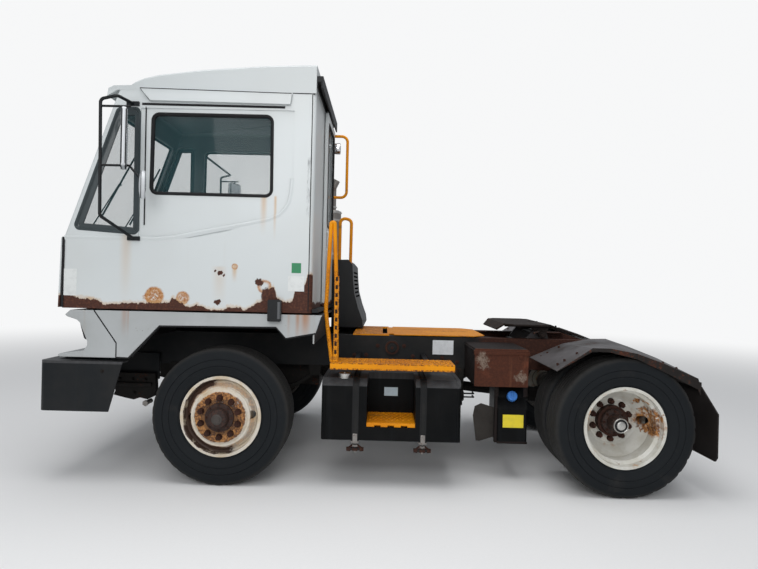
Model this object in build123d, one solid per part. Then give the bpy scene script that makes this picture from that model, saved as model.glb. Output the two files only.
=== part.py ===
from build123d import *
import math
import os

# Terminal tractor with one offset cab. Millimetres, +X forward, +Y to the driver's left, +Z up,
# origin on the ground under the middle of the whole machine.

# Driving sizes of the running gear
WHEELBASE = 2946
FRONT_OVERHANG = 1314  # front axle to the bumper's face
REAR_OVERHANG = 655  # rear axle to the mudflaps' rear edge
BODY_HALF_WIDTH = 1200
TYRE_RADIUS = 507
TYRE_WIDTH = 282
TYRE_BEAD_RADIUS = 286.5
RIM_WIDTH = 235
RIM_FLANGE_RADIUS = 298.5
RIM_WALL = 9
FRONT_TRACK = 2065
REAR_TRACK = 1833  # between the middles of the two twin pairs
TWIN_SPACING = 330
STEER_ARM = 180
KINGPIN_SPREAD = 1740
RUNNING_GAP = 0.3  # between a shaft and the bore that turns on it
MOVING_GAP = 6  # least gap between pieces that move past each other

REAR_AXLE_X = (REAR_OVERHANG - FRONT_OVERHANG - WHEELBASE) / 2
FRONT_AXLE_X = REAR_AXLE_X + WHEELBASE
AXLE_Z = TYRE_RADIUS


REAR_GROUP = 1060  # places up to here stay with the rear axle
FRONT_GROUP = 2205  # places from here on stay with the front axle
FRONT_GROUP_LEAD = 741  # from the front group's first place to the front axle


def ahead(distance):
    """X of a place given by its distance ahead of the rear axle; the middle stretches with the wheelbase."""
    front_x = FRONT_AXLE_X - FRONT_GROUP_LEAD
    if distance <= REAR_GROUP:
        return REAR_AXLE_X + distance
    if distance >= FRONT_GROUP:
        return front_x + distance - FRONT_GROUP
    rear_x = REAR_AXLE_X + REAR_GROUP
    return rear_x + (distance - REAR_GROUP) * (front_x - rear_x) / (FRONT_GROUP - REAR_GROUP)


# Frame
RAIL_TOP_Z = 1064
RAIL_DEPTH = 267
RAIL_FLANGE = 89
RAIL_WEB = 10
FRAME_HALF_WIDTH = 432
RAIL_BOTTOM_Z = RAIL_TOP_Z - RAIL_DEPTH
RAIL_FRONT_X = ahead(3890)
RAIL_REAR_X = ahead(-620)
WEB_INSIDE_Y = FRAME_HALF_WIDTH - RAIL_WEB
RAIL_INSIDE_Y = FRAME_HALF_WIDTH - RAIL_FLANGE

# Lifting boom and fifth wheel
BOOM_PIVOT_X = ahead(1684)
BOOM_PIVOT_Z = RAIL_TOP_Z - 100
BOOM_PIN_RADIUS = 30
BOOM_HALF_WIDTH = 300
BOOM_ARM_THICKNESS = 32
COUPLING_X = ahead(380)
COUPLING_TOP_Z = 1190
COUPLING_PIVOT_Z = COUPLING_TOP_Z - 90
COUPLING_EAR_RADIUS = COUPLING_PIVOT_Z - RAIL_TOP_Z - MOVING_GAP
COUPLING_PIN_RADIUS = 20
COUPLING_HALF_WIDTH = 460
COUPLING_EAR_Y = 380
COUPLING_EAR_PLATE = 28
COUPLING_PLATE = 14
KINGPIN_HOLE_RADIUS = 25.6
LIFT_ANGLE = 17.5  # degrees that the boom rises
LIFT_BASE_X = ahead(1150)
LIFT_BASE_Z = 640
LIFT_EYE_X = ahead(640)
LIFT_EYE_Z = 950
LIFT_SPREAD = 380
LUG_GAP = 50  # from a ram's middle to the plates beside its eyes
LUG_PLATE = 14
PIN_HEAD = 8

# Deck, steps and tanks
DECK_TOP_Z = 1078
DECK_PLATE = 8
FRONT_DECK_FRONT_X = ahead(2024)
FRONT_DECK_REAR_X = ahead(1768)
BOOM_DECK_FRONT_X = ahead(1726)
BOOM_DECK_REAR_X = ahead(868)
DECK_SWING = (DECK_TOP_Z - BOOM_PIVOT_Z) * math.sin(math.radians(LIFT_ANGLE))
DECK_NOTCH_X = BOOM_PIVOT_X - 14  # the plate's front over the rails, so far back that it stays above them
DECK_TAB_X = DECK_NOTCH_X + DECK_SWING + MOVING_GAP
STEP_FRONT_X = ahead(2148)
STEP_REAR_X = ahead(1230)
STEP_TOP_Z = 925
STEP_EDGE = 50
STEP_INNER_Y = 880
STEP_ARMS = [ahead(1966), ahead(1420)]
SIDE_FACE_Y = BODY_HALF_WIDTH - 50
TANK_FRONT_X = ahead(2205)
TANK_REAR_X = ahead(1180)
TANK_TOP_Z = 805
TANK_BOTTOM_Z = 360
TANK_INNER_Y = 500
TREAD_FRONT_X = ahead(1872)
TREAD_REAR_X = ahead(1513)
TREAD_TOP_Z = 490
TREAD_DEPTH = 350

# Cab
CAB_OUTER_Y = BODY_HALF_WIDTH
CAB_INNER_Y = 2
CAB_WALL = 45
CAB_BOTTOM_Z = 1285
CAB_REAR_X = ahead(2285)
CAB_FRONT_X = ahead(4118)
BELT_Z = 1807
PILLAR_TOP_X = ahead(3773)
EAVES_Z = 2880
PILLAR_TOP_Z = EAVES_Z - 113
ROOF_REAR_Z = EAVES_Z + 210
CAB_PIVOT_X = ahead(4030)
CAB_PIVOT_Z = CAB_BOTTOM_Z - 65
DOORWAY_INNER_Y = 110
DOORWAY_WIDTH = 500
DOORWAY_BOTTOM_Z = 1370
DOORWAY_TOP_Z = EAVES_Z - 20
DOOR_LAP = 45  # how far the door overlaps its doorway at each edge
DOOR_THICKNESS = 26
DOOR_TRAVEL = 500

# Lower body
SKIRT_TOP_Z = CAB_BOTTOM_Z - 13
SKIRT_PLATE = 12
HOOD_INNER_Y = -30
HOOD_OUTER_Y = 100 - BODY_HALF_WIDTH
HOOD_TOP_Z = 1736
HOOD_WALL = 25
BUMPER_TOP_Z = 900
BUMPER_BOTTOM_Z = 535
BUMPER_PLATE = 10
BUMPER_CORNER = 45


def block(x, y, z):
    """Box between two values on each axis, given as (low, high) pairs."""
    size = (x[1] - x[0], y[1] - y[0], z[1] - z[0])
    middle = ((x[0] + x[1]) / 2, (y[0] + y[1]) / 2, (z[0] + z[1]) / 2)
    return Pos(*middle) * Box(*size)


def side_prism(outline, y0, y1):
    """Outline of (x, z) corners, pushed from y0 to y1."""
    edge = Polyline(*[(x, y0, z) for x, z in outline], close=True)
    return extrude(make_face(edge), y1 - y0, dir=(0, 1, 0))


def front_prism(outline, x0, x1):
    """Outline of (y, z) corners, pushed from x0 to x1."""
    edge = Polyline(*[(x0, y, z) for y, z in outline], close=True)
    return extrude(make_face(edge), x1 - x0, dir=(1, 0, 0))


def plan_prism(outline, z0, z1):
    """Outline of (x, y) corners, pushed from z0 to z1."""
    edge = Polyline(*[(x, y, z0) for x, y in outline], close=True)
    return extrude(make_face(edge), z1 - z0, dir=(0, 0, 1))


def bar(start, end, radius):
    """Round bar between two points."""
    start = Vector(*start)
    run = Vector(*end) - start
    return Solid.make_cylinder(radius, run.length, Plane(origin=start, z_dir=run))


def tube(start, end, outer, inner):
    """Round tube between two points."""
    return bar(start, end, outer) - bar(start, end, inner)


def bent_bar(points, radius, bend):
    """Round bar along straight runs joined by bends."""
    route = FilletPolyline(*points, radius=bend)
    section = Plane(origin=route @ 0, z_dir=route % 0) * Circle(radius)
    return sweep(section, path=route)


def turned(outline, x, y, z):
    """Outline of (distance outboard, radius) corners, turned about a line along Y."""
    edge = Polyline(*[(x, y + out, z + radius) for out, radius in outline], close=True)
    return revolve(make_face(edge), Axis((x, y, z), (0, 1, 0)))


def flip(shape):
    """The same piece on the other side of the machine."""
    return mirror(shape, about=Plane.XZ)


def joined(shapes):
    """Pieces that touch, fused into one."""
    whole = shapes[0]
    for shape in shapes[1:]:
        whole += shape
    return whole


def grouped(shapes):
    """Pieces of one kind that stay apart."""
    return Compound(children=[solid for shape in shapes for solid in shape.solids()])


# Wheels

RIM_HALF = RIM_WIDTH / 2
HUB_BORE = 40 + RUNNING_GAP
REAR_HUB_BORE = 60 + RUNNING_GAP
FRONT_WHEEL_Y = FRONT_TRACK / 2
REAR_OUTER_Y = REAR_TRACK / 2 + TWIN_SPACING / 2
REAR_INNER_Y = REAR_TRACK / 2 - TWIN_SPACING / 2
NUT_CIRCLE = 142.9
NUT_COUNT = 10


def tyre(x, y):
    """Truck tyre: flat tread, rounded shoulders and bulging side walls."""
    half = TYRE_WIDTH / 2
    bead = RIM_HALF - RIM_WALL
    tread = half - 38
    shoulder_z = TYRE_RADIUS - 26

    def side(sign):
        foot = Line((x, y + sign * bead, TYRE_BEAD_RADIUS), (x, y + sign * bead, RIM_FLANGE_RADIUS + 4))
        wall = ThreePointArc(
            (x, y + sign * bead, RIM_FLANGE_RADIUS + 4),
            (x, y + sign * (half - 1.6), (RIM_FLANGE_RADIUS + shoulder_z) / 2),
            (x, y + sign * (half - 10), shoulder_z),
        )
        shoulder = ThreePointArc(
            (x, y + sign * (half - 10), shoulder_z),
            (x, y + sign * (half - 18), TYRE_RADIUS - 8),
            (x, y + sign * tread, TYRE_RADIUS),
        )
        return [foot, wall, shoulder]

    across = Line((x, y - tread, TYRE_RADIUS), (x, y + tread, TYRE_RADIUS))
    inside = Line((x, y - bead, TYRE_BEAD_RADIUS), (x, y + bead, TYRE_BEAD_RADIUS))
    face = make_face(Wire([*side(-1), across, *side(1), inside]))
    ring = revolve(face, Axis((x, y, 0), (0, 1, 0)))
    return Pos(0, 0, AXLE_Z) * ring


def rim_barrel(x, y):
    """Rim with two flanges, two bead seats and the drop between them."""
    seat = TYRE_BEAD_RADIUS - 0.5
    flange_inside = RIM_HALF - RIM_WALL
    outer = [
        (-RIM_HALF, RIM_FLANGE_RADIUS), (-flange_inside, RIM_FLANGE_RADIUS), (-flange_inside, seat),
        (-62, seat - 3), (-44, seat - 24), (44, seat - 24), (62, seat - 3),
        (flange_inside, seat), (flange_inside, RIM_FLANGE_RADIUS), (RIM_HALF, RIM_FLANGE_RADIUS),
    ]
    inner = [
        (RIM_HALF, seat - RIM_WALL), (68, seat - 3 - RIM_WALL), (50, seat - 24 - RIM_WALL),
        (-50, seat - 24 - RIM_WALL), (-68, seat - 3 - RIM_WALL), (-RIM_HALF, seat - RIM_WALL),
    ]
    return turned(outer + inner, x, y, AXLE_Z)


def wheel_disc(x, y, sign, face, pilot):
    """Dished disc whose bolting face stands `face` outboard of the rim's middle, with hand holes."""
    plate = 12
    outline = [
        (sign * (face - plate), pilot), (sign * face, pilot), (sign * face, 178), (sign * (face - 14), 196),
        (sign * 66, 258), (sign * 54, 258), (sign * (face - 14 - plate), 190), (sign * (face - plate), 172),
    ]
    disc = turned(outline, x, y, AXLE_Z)
    for index in range(2):
        angle = math.radians(180 * index - 4)
        centre_x = x + 222 * math.cos(angle)
        centre_z = AXLE_Z + 222 * math.sin(angle)
        disc -= bar((centre_x, y, centre_z), (centre_x, y + sign * (face + 20), centre_z), 31)
    return disc


def wheel_nuts(x, start_y, end_y):
    """Ring of wheel nuts on the bolt circle."""
    ring = []
    for index in range(NUT_COUNT):
        angle = 2 * math.pi * (index + 0.5) / NUT_COUNT
        spot_x = x + NUT_CIRCLE * math.cos(angle)
        spot_z = AXLE_Z + NUT_CIRCLE * math.sin(angle)
        ring.append(bar((spot_x, start_y, spot_z), (spot_x, end_y, spot_z), 18))
    return ring


FRONT_DISC_FACE = RIM_HALF + 20
REAR_DISC_FACE = TWIN_SPACING / 2


def front_rim():
    """Left front rim with its disc, nuts, hub, grease cap and brake drum."""
    y = FRONT_WHEEL_Y
    face = FRONT_DISC_FACE
    hub = turned(
        [(-40, HUB_BORE), (-40, 84), (face - 34, 96), (face - 34, 205), (-84, 205), (-84, 218),
         (face - 22, 218), (face - 22, 172), (face - 12, 172), (face - 12, 110), (face + 12, 105),
         (face + 18, 78), (face + 55, 70), (face + 66, 62), (face + 72, 30), (face + 72, 0),
         (face - 10, 0), (face - 10, HUB_BORE)],
        FRONT_AXLE_X, y, AXLE_Z,
    )
    disc = wheel_disc(FRONT_AXLE_X, y, 1, face, 108)
    nuts = wheel_nuts(FRONT_AXLE_X, y + face - 5, y + face + 30)
    return joined([rim_barrel(FRONT_AXLE_X, y), disc, hub, *nuts])


def rear_rims():
    """Left pair of rear rims on one hub, discs bolted face to face, with the brake drum."""
    plane_y = REAR_TRACK / 2
    outer_disc = wheel_disc(REAR_AXLE_X, REAR_OUTER_Y, -1, REAR_DISC_FACE, 112)
    inner_disc = wheel_disc(REAR_AXLE_X, REAR_INNER_Y, 1, REAR_DISC_FACE, 112)
    hub = turned(
        [(-250, REAR_HUB_BORE), (-250, 92), (-20, 108), (-20, 170), (-40, 200), (-190, 200), (-190, 214),
         (-38, 214), (-12, 176), (0, 176), (0, 118), (58, 114), (66, 96), (96, 94), (104, 64), (196, 60),
         (206, 50), (206, 0), (60, 0), (60, REAR_HUB_BORE)],
        REAR_AXLE_X, plane_y, AXLE_Z,
    )
    nuts = wheel_nuts(REAR_AXLE_X, plane_y + 8, plane_y + 40)
    barrels = [rim_barrel(REAR_AXLE_X, REAR_OUTER_Y), rim_barrel(REAR_AXLE_X, REAR_INNER_Y)]
    return joined([*barrels, outer_disc, inner_disc, hub, *nuts])


# Axles and steering

KINGPIN_Y = KINGPIN_SPREAD / 2
KINGPIN_RADIUS = 22
YOKE_INSIDE = 62
YOKE_THICKNESS = 34
STEER_BALL_Y = KINGPIN_Y
STEER_BALL_Z = AXLE_Z - 100
TIE_ROD_RADIUS = 18


def knuckle():
    """Left steering knuckle: forked yoke, kingpin, spindle, backing plate and steering arm."""
    x, y, z = FRONT_AXLE_X, KINGPIN_Y, AXLE_Z
    low = z - YOKE_INSIDE - YOKE_THICKNESS
    high = z + YOKE_INSIDE + YOKE_THICKNESS
    pieces = [bar((x, y, low - 10), (x, y, high + 10), KINGPIN_RADIUS)]
    for foot in (low, high - YOKE_THICKNESS):
        pieces.append(bar((x, y, foot), (x, y, foot + YOKE_THICKNESS), 44))
        pieces.append(block((x - 40, x + 40), (y, y + 70), (foot, foot + YOKE_THICKNESS)))
    pieces.append(block((x - 40, x + 40), (y + 52, y + 74), (low, high)))
    spindle_end = FRONT_WHEEL_Y + FRONT_DISC_FACE - 16
    pieces.append(bar((x, y + 60, z), (x, spindle_end, z), HUB_BORE - RUNNING_GAP))
    plate_y = FRONT_WHEEL_Y - 100
    pieces.append(bar((x, y + 56, z), (x, plate_y + 10, z), 60))
    pieces.append(bar((x, plate_y, z), (x, plate_y + 10, z), 190))
    arm_top = STEER_BALL_Z + 24
    arm = block((x - STEER_ARM, x), (STEER_BALL_Y - 20, STEER_BALL_Y + 20), (STEER_BALL_Z + 4, arm_top))
    pieces.append(arm)
    ball_x = x - STEER_ARM
    pieces.append(bar((ball_x, STEER_BALL_Y, STEER_BALL_Z - 46), (ball_x, STEER_BALL_Y, arm_top), 20))
    return joined(pieces)


def tie_rod():
    """Rod between the two steering arms, with an eye round each arm's ball stud."""
    x = FRONT_AXLE_X - STEER_ARM
    z = STEER_BALL_Z - 24
    rod = bar((x, -STEER_BALL_Y, z), (x, STEER_BALL_Y, z), TIE_ROD_RADIUS)
    for y in (-STEER_BALL_Y, STEER_BALL_Y):
        rod += bar((x, y, z - 20), (x, y, z + 14), 34)
    for y in (-STEER_BALL_Y, STEER_BALL_Y):
        rod -= bar((x, y, z - 30), (x, y, z + 30), 20 + RUNNING_GAP)
    return rod


BEAM_DROP = 70
BEAM_HALF = 46
SPRING_Y = 387
SPRING_HALF_WIDTH = 40
SPRING_SEAT_Z = AXLE_Z - BEAM_DROP + 55
SPRING_HALF_LENGTH = 600


def front_axle():
    """Dropped I-section beam with an eye round each kingpin and a pad under each spring."""
    x = FRONT_AXLE_X
    bottom = AXLE_Z - BEAM_DROP - 45
    eye_half = YOKE_INSIDE - 4
    half = [(0, bottom), (560, bottom), (KINGPIN_Y - 60, AXLE_Z - eye_half), (KINGPIN_Y, AXLE_Z - eye_half),
            (KINGPIN_Y, AXLE_Z + eye_half - 6), (KINGPIN_Y - 70, AXLE_Z + eye_half - 6), (600, SPRING_SEAT_Z),
            (0, SPRING_SEAT_Z)]
    web = front_prism([*half, *[(-y, z) for y, z in reversed(half[1:-1])]], x - BEAM_HALF, x + BEAM_HALF)
    groove = [(0, bottom + 20), (545, bottom + 20), (600, bottom + 50), (600, SPRING_SEAT_Z - 24),
              (0, SPRING_SEAT_Z - 20)]
    for sign in (1, -1):
        for low, high in ((x - BEAM_HALF - 1, x - 12), (x + 12, x + BEAM_HALF + 1)):
            web -= front_prism([(sign * y, z) for y, z in groove], low, high)
    for sign in (1, -1):
        y = sign * KINGPIN_Y
        web += bar((x, y, AXLE_Z - eye_half), (x, y, AXLE_Z + eye_half), BEAM_HALF)
        web -= bar((x, y, AXLE_Z - 90), (x, y, AXLE_Z + 90), KINGPIN_RADIUS + RUNNING_GAP)
    return web


def leaf_springs():
    """Two leaf packs curved up from the beam to a hanger and a shackle on each rail."""
    thickness = 44
    rise = RAIL_BOTTOM_Z - 70 - SPRING_SEAT_Z
    x0, x1 = FRONT_AXLE_X - SPRING_HALF_LENGTH, FRONT_AXLE_X + SPRING_HALF_LENGTH
    low, high = SPRING_SEAT_Z, SPRING_SEAT_Z + thickness
    springs = []
    y0, y1 = SPRING_Y - SPRING_HALF_WIDTH, SPRING_Y + SPRING_HALF_WIDTH
    under = ThreePointArc((x0, y0, low + rise), (FRONT_AXLE_X, y0, low), (x1, y0, low + rise))
    over = ThreePointArc((x1, y0, low + rise + 24), (FRONT_AXLE_X, y0, high), (x0, y0, low + rise + 24))
    end = Line((x1, y0, low + rise), (x1, y0, low + rise + 24))
    start = Line((x0, y0, low + rise + 24), (x0, y0, low + rise))
    leaves = extrude(make_face(Wire([under, end, over, start])), y1 - y0, dir=(0, 1, 0))
    eye_z = low + rise + 12
    for x in (x0, x1):
        leaves += bar((x, y0, eye_z), (x, y1, eye_z), 32)
        for cheek in (y0 - 12, y1):
            leaves += side_prism([(x - 40, eye_z - 30), (x + 40, eye_z - 30), (x + 55, RAIL_BOTTOM_Z),
                                  (x - 55, RAIL_BOTTOM_Z)], cheek, cheek + 12)
    for x in (FRONT_AXLE_X - 62, FRONT_AXLE_X + 62):
        for y in (y0 - 8, y1 + 8):
            leaves += bar((x, y, SPRING_SEAT_Z - 30), (x, y, high + 24), 9)
    leaves += block((FRONT_AXLE_X - 80, FRONT_AXLE_X + 80), (y0 - 20, y1 + 20), (high - 4, high + 14))
    springs = [leaves, flip(leaves)]
    return grouped(springs)


DRUM_INSIDE_Y = REAR_TRACK / 2 - 250 - MOVING_GAP
DRIVE_NOSE_X = ahead(330)


def rear_axle():
    """Drive axle: round housing, tapered ends, nose towards the shaft and blocks up to the rails."""
    x = REAR_AXLE_X
    ends = REAR_TRACK / 2 + 50
    housing = bar((x, -ends, AXLE_Z), (x, ends, AXLE_Z), REAR_HUB_BORE - RUNNING_GAP)
    housing += bar((x, -DRUM_INSIDE_Y, AXLE_Z), (x, DRUM_INSIDE_Y, AXLE_Z), 74)
    housing += bar((x - 150, 0, AXLE_Z), (x + 120, 0, AXLE_Z), 205)
    nose_plane = Plane(origin=(x + 110, 0, AXLE_Z), z_dir=(1, 0, 0))
    housing += Solid.make_cone(150, 70, DRIVE_NOSE_X - x - 110, nose_plane)
    for sign in (1, -1):
        y = sign * SPRING_Y
        housing += block((x - 85, x + 85), (y - 40, y + 40), (AXLE_Z - 84, RAIL_BOTTOM_Z))
    return housing


def drive_shaft():
    """Shaft from the gearbox to the drive axle with a joint at each end."""
    rear = (DRIVE_NOSE_X, 0, AXLE_Z)
    front = (ENGINE_REAR_X, 0, 700)
    run = Vector(*front) - Vector(*rear)
    unit = run.normalized()
    shaft = bar(rear, front, 44)
    end = run.length
    for start, length, radius in ((0, 70, 68), (80, 60, 56), (end - 140, 60, 56), (end - 70, 70, 68)):
        first = Vector(*rear) + unit * start
        shaft += bar(tuple(first), tuple(first + unit * length), radius)
    front_cap = block((ENGINE_REAR_X, ENGINE_REAR_X + 200), (-200, 200), (500, 900))
    rear_cap = block((DRIVE_NOSE_X - 200, DRIVE_NOSE_X), (-200, 200), (300, 700))
    return shaft - front_cap - rear_cap


# Frame

CROSSMEMBERS = [
    # middle x, bottom z, top z, half length
    (ahead(3840), RAIL_BOTTOM_Z + 20, RAIL_TOP_Z - 20, 45),
    (ahead(2160), RAIL_BOTTOM_Z + 20, RAIL_TOP_Z - 30, 40),
    (LIFT_BASE_X, RAIL_BOTTOM_Z + RAIL_WEB, RAIL_BOTTOM_Z + 50, 60),
    (ahead(-330), RAIL_BOTTOM_Z + 20, RAIL_TOP_Z - 170, 45),
]
PIVOT_CAP_RADIUS = 66
TAIL_SLOPE_X = ahead(-20)
TAIL_TOP_Z = 880


def frame_rails():
    """Two channel rails, open side inwards, sloping at the rear, with the boom pin's round caps outside."""
    rail = block((RAIL_REAR_X, RAIL_FRONT_X), (WEB_INSIDE_Y, FRAME_HALF_WIDTH), (RAIL_BOTTOM_Z, RAIL_TOP_Z))
    flange_y = (FRAME_HALF_WIDTH - RAIL_FLANGE, FRAME_HALF_WIDTH)
    rail += block((RAIL_REAR_X, RAIL_FRONT_X), flange_y, (RAIL_TOP_Z - RAIL_WEB, RAIL_TOP_Z))
    rail += block((RAIL_REAR_X, RAIL_FRONT_X), flange_y, (RAIL_BOTTOM_Z, RAIL_BOTTOM_Z + RAIL_WEB))
    cap_start = (BOOM_PIVOT_X, FRAME_HALF_WIDTH - 2, BOOM_PIVOT_Z)
    rail += bar(cap_start, (BOOM_PIVOT_X, FRAME_HALF_WIDTH + 22, BOOM_PIVOT_Z), PIVOT_CAP_RADIUS)
    rail += bar(cap_start, (BOOM_PIVOT_X, FRAME_HALF_WIDTH + 36, BOOM_PIVOT_Z), PIVOT_CAP_RADIUS / 2)
    slope = [(TAIL_SLOPE_X, RAIL_TOP_Z + 1), (RAIL_REAR_X - 1, TAIL_TOP_Z), (RAIL_REAR_X - 1, RAIL_TOP_Z + 1)]
    rail -= side_prism(slope, flange_y[0] - 1, FRAME_HALF_WIDTH + 1)
    return grouped([rail, flip(rail)])


def crossmembers():
    """Members between the rails, the boom pin, and the lift rams' foot brackets."""
    members = []
    for x, low, high, half in CROSSMEMBERS:
        members.append(block((x - half, x + half), (-WEB_INSIDE_Y, WEB_INSIDE_Y), (low, high)))
    pin_end = (BOOM_PIVOT_X, WEB_INSIDE_Y, BOOM_PIVOT_Z)
    members.append(bar((BOOM_PIVOT_X, -WEB_INSIDE_Y, BOOM_PIVOT_Z), pin_end, BOOM_PIN_RADIUS))
    foot = members[2]
    for sign in (1, -1):
        middle = sign * LIFT_SPREAD / 2
        for y in (middle - LUG_GAP - LUG_PLATE, middle + LUG_GAP):
            top_z, low_z = RAIL_BOTTOM_Z + 12, LIFT_BASE_Z - 32
            outline = [(LIFT_BASE_X - 50, top_z), (LIFT_BASE_X + 50, top_z), (LIFT_BASE_X + 32, low_z),
                       (LIFT_BASE_X - 32, low_z)]
            foot += side_prism(outline, y, y + LUG_PLATE)
        end = LUG_GAP + LUG_PLATE
        foot += bar((LIFT_BASE_X, middle - end, LIFT_BASE_Z), (LIFT_BASE_X, middle + end, LIFT_BASE_Z), 18)
    members[2] = foot
    return grouped(members)


# Front end

FASCIA_OUTLINE = [
    # places ahead of the rear axle and heights, from the top rear corner round the lamp recess
    (3871, 1272), (4047, 1272), (4085, 1236), (4068, 1222), (3998, 1200), (3975, 1180),
    (3918, 1045), (3918, 1015), (3945, 976), (4126, 950), (4130, 935), (4118, 928), (3704, 928), (3704, 1037),
]
HINGE_PLACES = [260, 940]
HINGE_SLOT = 62


def recess_x(z):
    """X of the nose's recessed face at this height."""
    return ahead(3918) + max(0, z - 1045) * (3975 - 3918) / (1180 - 1045)


LAMP_ROWS = [
    # middle y, half width, height of the middle, half height
    (1050, 88, 1112, 54),
    (860, 66, 1112, 54),
]


def front_bumper():
    """Deep pressed bumper that wraps both sides, with a slanted rear edge and a folded top lip."""
    front = FRONT_AXLE_X + FRONT_OVERHANG
    rear_top = ahead(3651)
    rear_low = ahead(3751)
    half = BODY_HALF_WIDTH + 6
    shell = block((rear_top, front), (-half, half), (BUMPER_BOTTOM_Z, BUMPER_TOP_Z))
    corners = [edge for edge in shell.edges().filter_by(Axis.Z) if edge.center().X > front - 1]
    shell = fillet(corners, BUMPER_CORNER)
    inner_half = half - BUMPER_PLATE
    cavity = block((rear_top - 50, front - BUMPER_PLATE), (-inner_half, inner_half),
                   (BUMPER_BOTTOM_Z - 10, BUMPER_TOP_Z - BUMPER_PLATE))
    inner_face = front - BUMPER_PLATE
    corners = [edge for edge in cavity.edges().filter_by(Axis.Z) if edge.center().X > inner_face - 1]
    shell -= fillet(corners, BUMPER_CORNER - BUMPER_PLATE)
    opening = 90 - half
    shell -= block((rear_top - 50, front - 90), (opening, -opening), (BUMPER_TOP_Z - 60, BUMPER_TOP_Z + 10))
    slant = [(rear_top - 60, BUMPER_TOP_Z), (rear_top, BUMPER_TOP_Z), (rear_low, BUMPER_BOTTOM_Z),
             (rear_low, BUMPER_BOTTOM_Z - 20), (rear_top - 60, BUMPER_BOTTOM_Z - 20)]
    shell -= side_prism(slant, -half - 5, half + 5)
    for sign in (1, -1):
        y = sign * (FRAME_HALF_WIDTH + 14)
        shell += block((RAIL_FRONT_X - 200, front - BUMPER_PLATE), (y - 12, y + 12),
                       (RAIL_BOTTOM_Z - 150, BUMPER_TOP_Z - 30))
    return shell


def front_fascia():
    """Pale moulded nose under the cab: C-shaped side ends and the recessed face between them."""
    outline = [(ahead(x), z) for x, z in FASCIA_OUTLINE]
    body = side_prism(outline, -BODY_HALF_WIDTH, BODY_HALF_WIDTH)
    wall = 14
    hollow = [(ahead(3600), 1272 - wall), (ahead(4020), 1272 - wall), (ahead(4044), 1234),
              (ahead(3960), 1186), (ahead(3903), 1050), (ahead(3903), 1008), (ahead(3938), 945),
              (ahead(3960), 928 + wall), (ahead(3960), 900), (ahead(3600), 900)]
    inner = BODY_HALF_WIDTH - wall
    body -= side_prism(hollow, -inner, inner)
    for y in HINGE_PLACES:
        body -= block((ahead(3880), ahead(4100)), (y - HINGE_SLOT, y + HINGE_SLOT), (1172, 1290))
    return body


GRILLE_Y = (-720, 720)
GRILLE_BARS = 24


def front_grille():
    """Row of upright bars between two rails in the nose's recess."""
    low, high = 1056, 1168
    y0, y1 = GRILLE_Y
    pieces = []
    for z in (low, high - 12):
        pieces.append(side_prism([(recess_x(z), z), (recess_x(z) + 16, z), (recess_x(z + 12) + 16, z + 12),
                                  (recess_x(z + 12), z + 12)], y0, y1))
    pitch = (y1 - y0) / GRILLE_BARS
    for index in range(GRILLE_BARS + 1):
        y = y0 + index * pitch
        outline = [(recess_x(low), low), (recess_x(low) + 12, low), (recess_x(high) + 12, high),
                   (recess_x(high), high)]
        pieces.append(side_prism(outline, y - 5, y + 5))
    return joined(pieces)


def headlamps():
    """Two lamps on each side, set in the nose's recess."""
    lamps = []
    for middle, half, z, tall in LAMP_ROWS:
        low, high = z - tall, z + tall
        outline = [(recess_x(low), low), (recess_x(low) + 40, low), (recess_x(high) + 26, high),
                   (recess_x(high), high)]
        for sign in (1, -1):
            y = sign * middle
            lamps.append(side_prism(outline, y - half, y + half))
    return grouped(lamps)


ARCH_OUTLINE = [
    # places ahead of the rear axle and heights of the skirt's edge, round the wheel arch
    (3871, 1272), (3704, 1037), (3704, 930), (3612, 930), (3390, 1172), (2540, 1181), (2467, 1102),
    (2250, 1144), (2209, 1272),
]


def wheel_skirts():
    """Pale side skirts over the front wheels, each with its flat top back to the frame or the hood."""
    outline = [(ahead(x), z) for x, z in ARCH_OUTLINE]
    gap = 4
    outline[0] = (outline[0][0] - gap, SKIRT_TOP_Z)
    outline[1] = (outline[1][0] - gap, outline[1][1])
    outline[2] = (outline[2][0] - gap, outline[2][1])
    skirt = side_prism(outline, BODY_HALF_WIDTH - SKIRT_PLATE, BODY_HALF_WIDTH)
    lip_y = BODY_HALF_WIDTH - 60
    for first, second in zip(outline[3:8], outline[4:8]):
        skirt += side_prism([first, second, (second[0], second[1] + 8), (first[0], first[1] + 8)],
                            lip_y, BODY_HALF_WIDTH - 2)
    for x in (ahead(2262), ahead(3560)):
        skirt += block((x, x + 10), (FRAME_HALF_WIDTH, BODY_HALF_WIDTH - 2), (RAIL_TOP_Z, SKIRT_TOP_Z - 2))
    sides = []
    for piece, inner in ((skirt, FRAME_HALF_WIDTH - 40), (flip(skirt), -HOOD_OUTER_Y + 4)):
        top = block((ahead(2215), ahead(3860)), (inner, BODY_HALF_WIDTH - 2),
                    (SKIRT_TOP_Z - SKIRT_PLATE, SKIRT_TOP_Z))
        sides.append(piece + (flip(top) if sides else top))
    return grouped(sides)


# Power unit and hood

ENGINE_FRONT_X = ahead(3380)
ENGINE_REAR_X = ahead(2330)


def engine_block():
    """Engine and gearbox as one plain mass between the rails, taller under the hood."""
    low = block((ENGINE_REAR_X, ENGINE_FRONT_X), (-330, 230), (590, 1235))
    low += block((ENGINE_REAR_X + 150, ENGINE_FRONT_X), (-330, -60), (1235, 1500))
    return low


def radiator():
    """Radiator core with its two tanks, upright behind the nose on the hood's side."""
    x = ahead(3715)
    core = block((x, x + 60), (HOOD_OUTER_Y + 100, -120), (RAIL_TOP_Z + 60, HOOD_TOP_Z - 176))
    core += block((x - 12, x + 72), (HOOD_OUTER_Y + 90, -110), (RAIL_TOP_Z, RAIL_TOP_Z + 70))
    core += block((x - 12, x + 72), (HOOD_OUTER_Y + 90, -110), (HOOD_TOP_Z - 196, HOOD_TOP_Z - 136))
    return core


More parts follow.
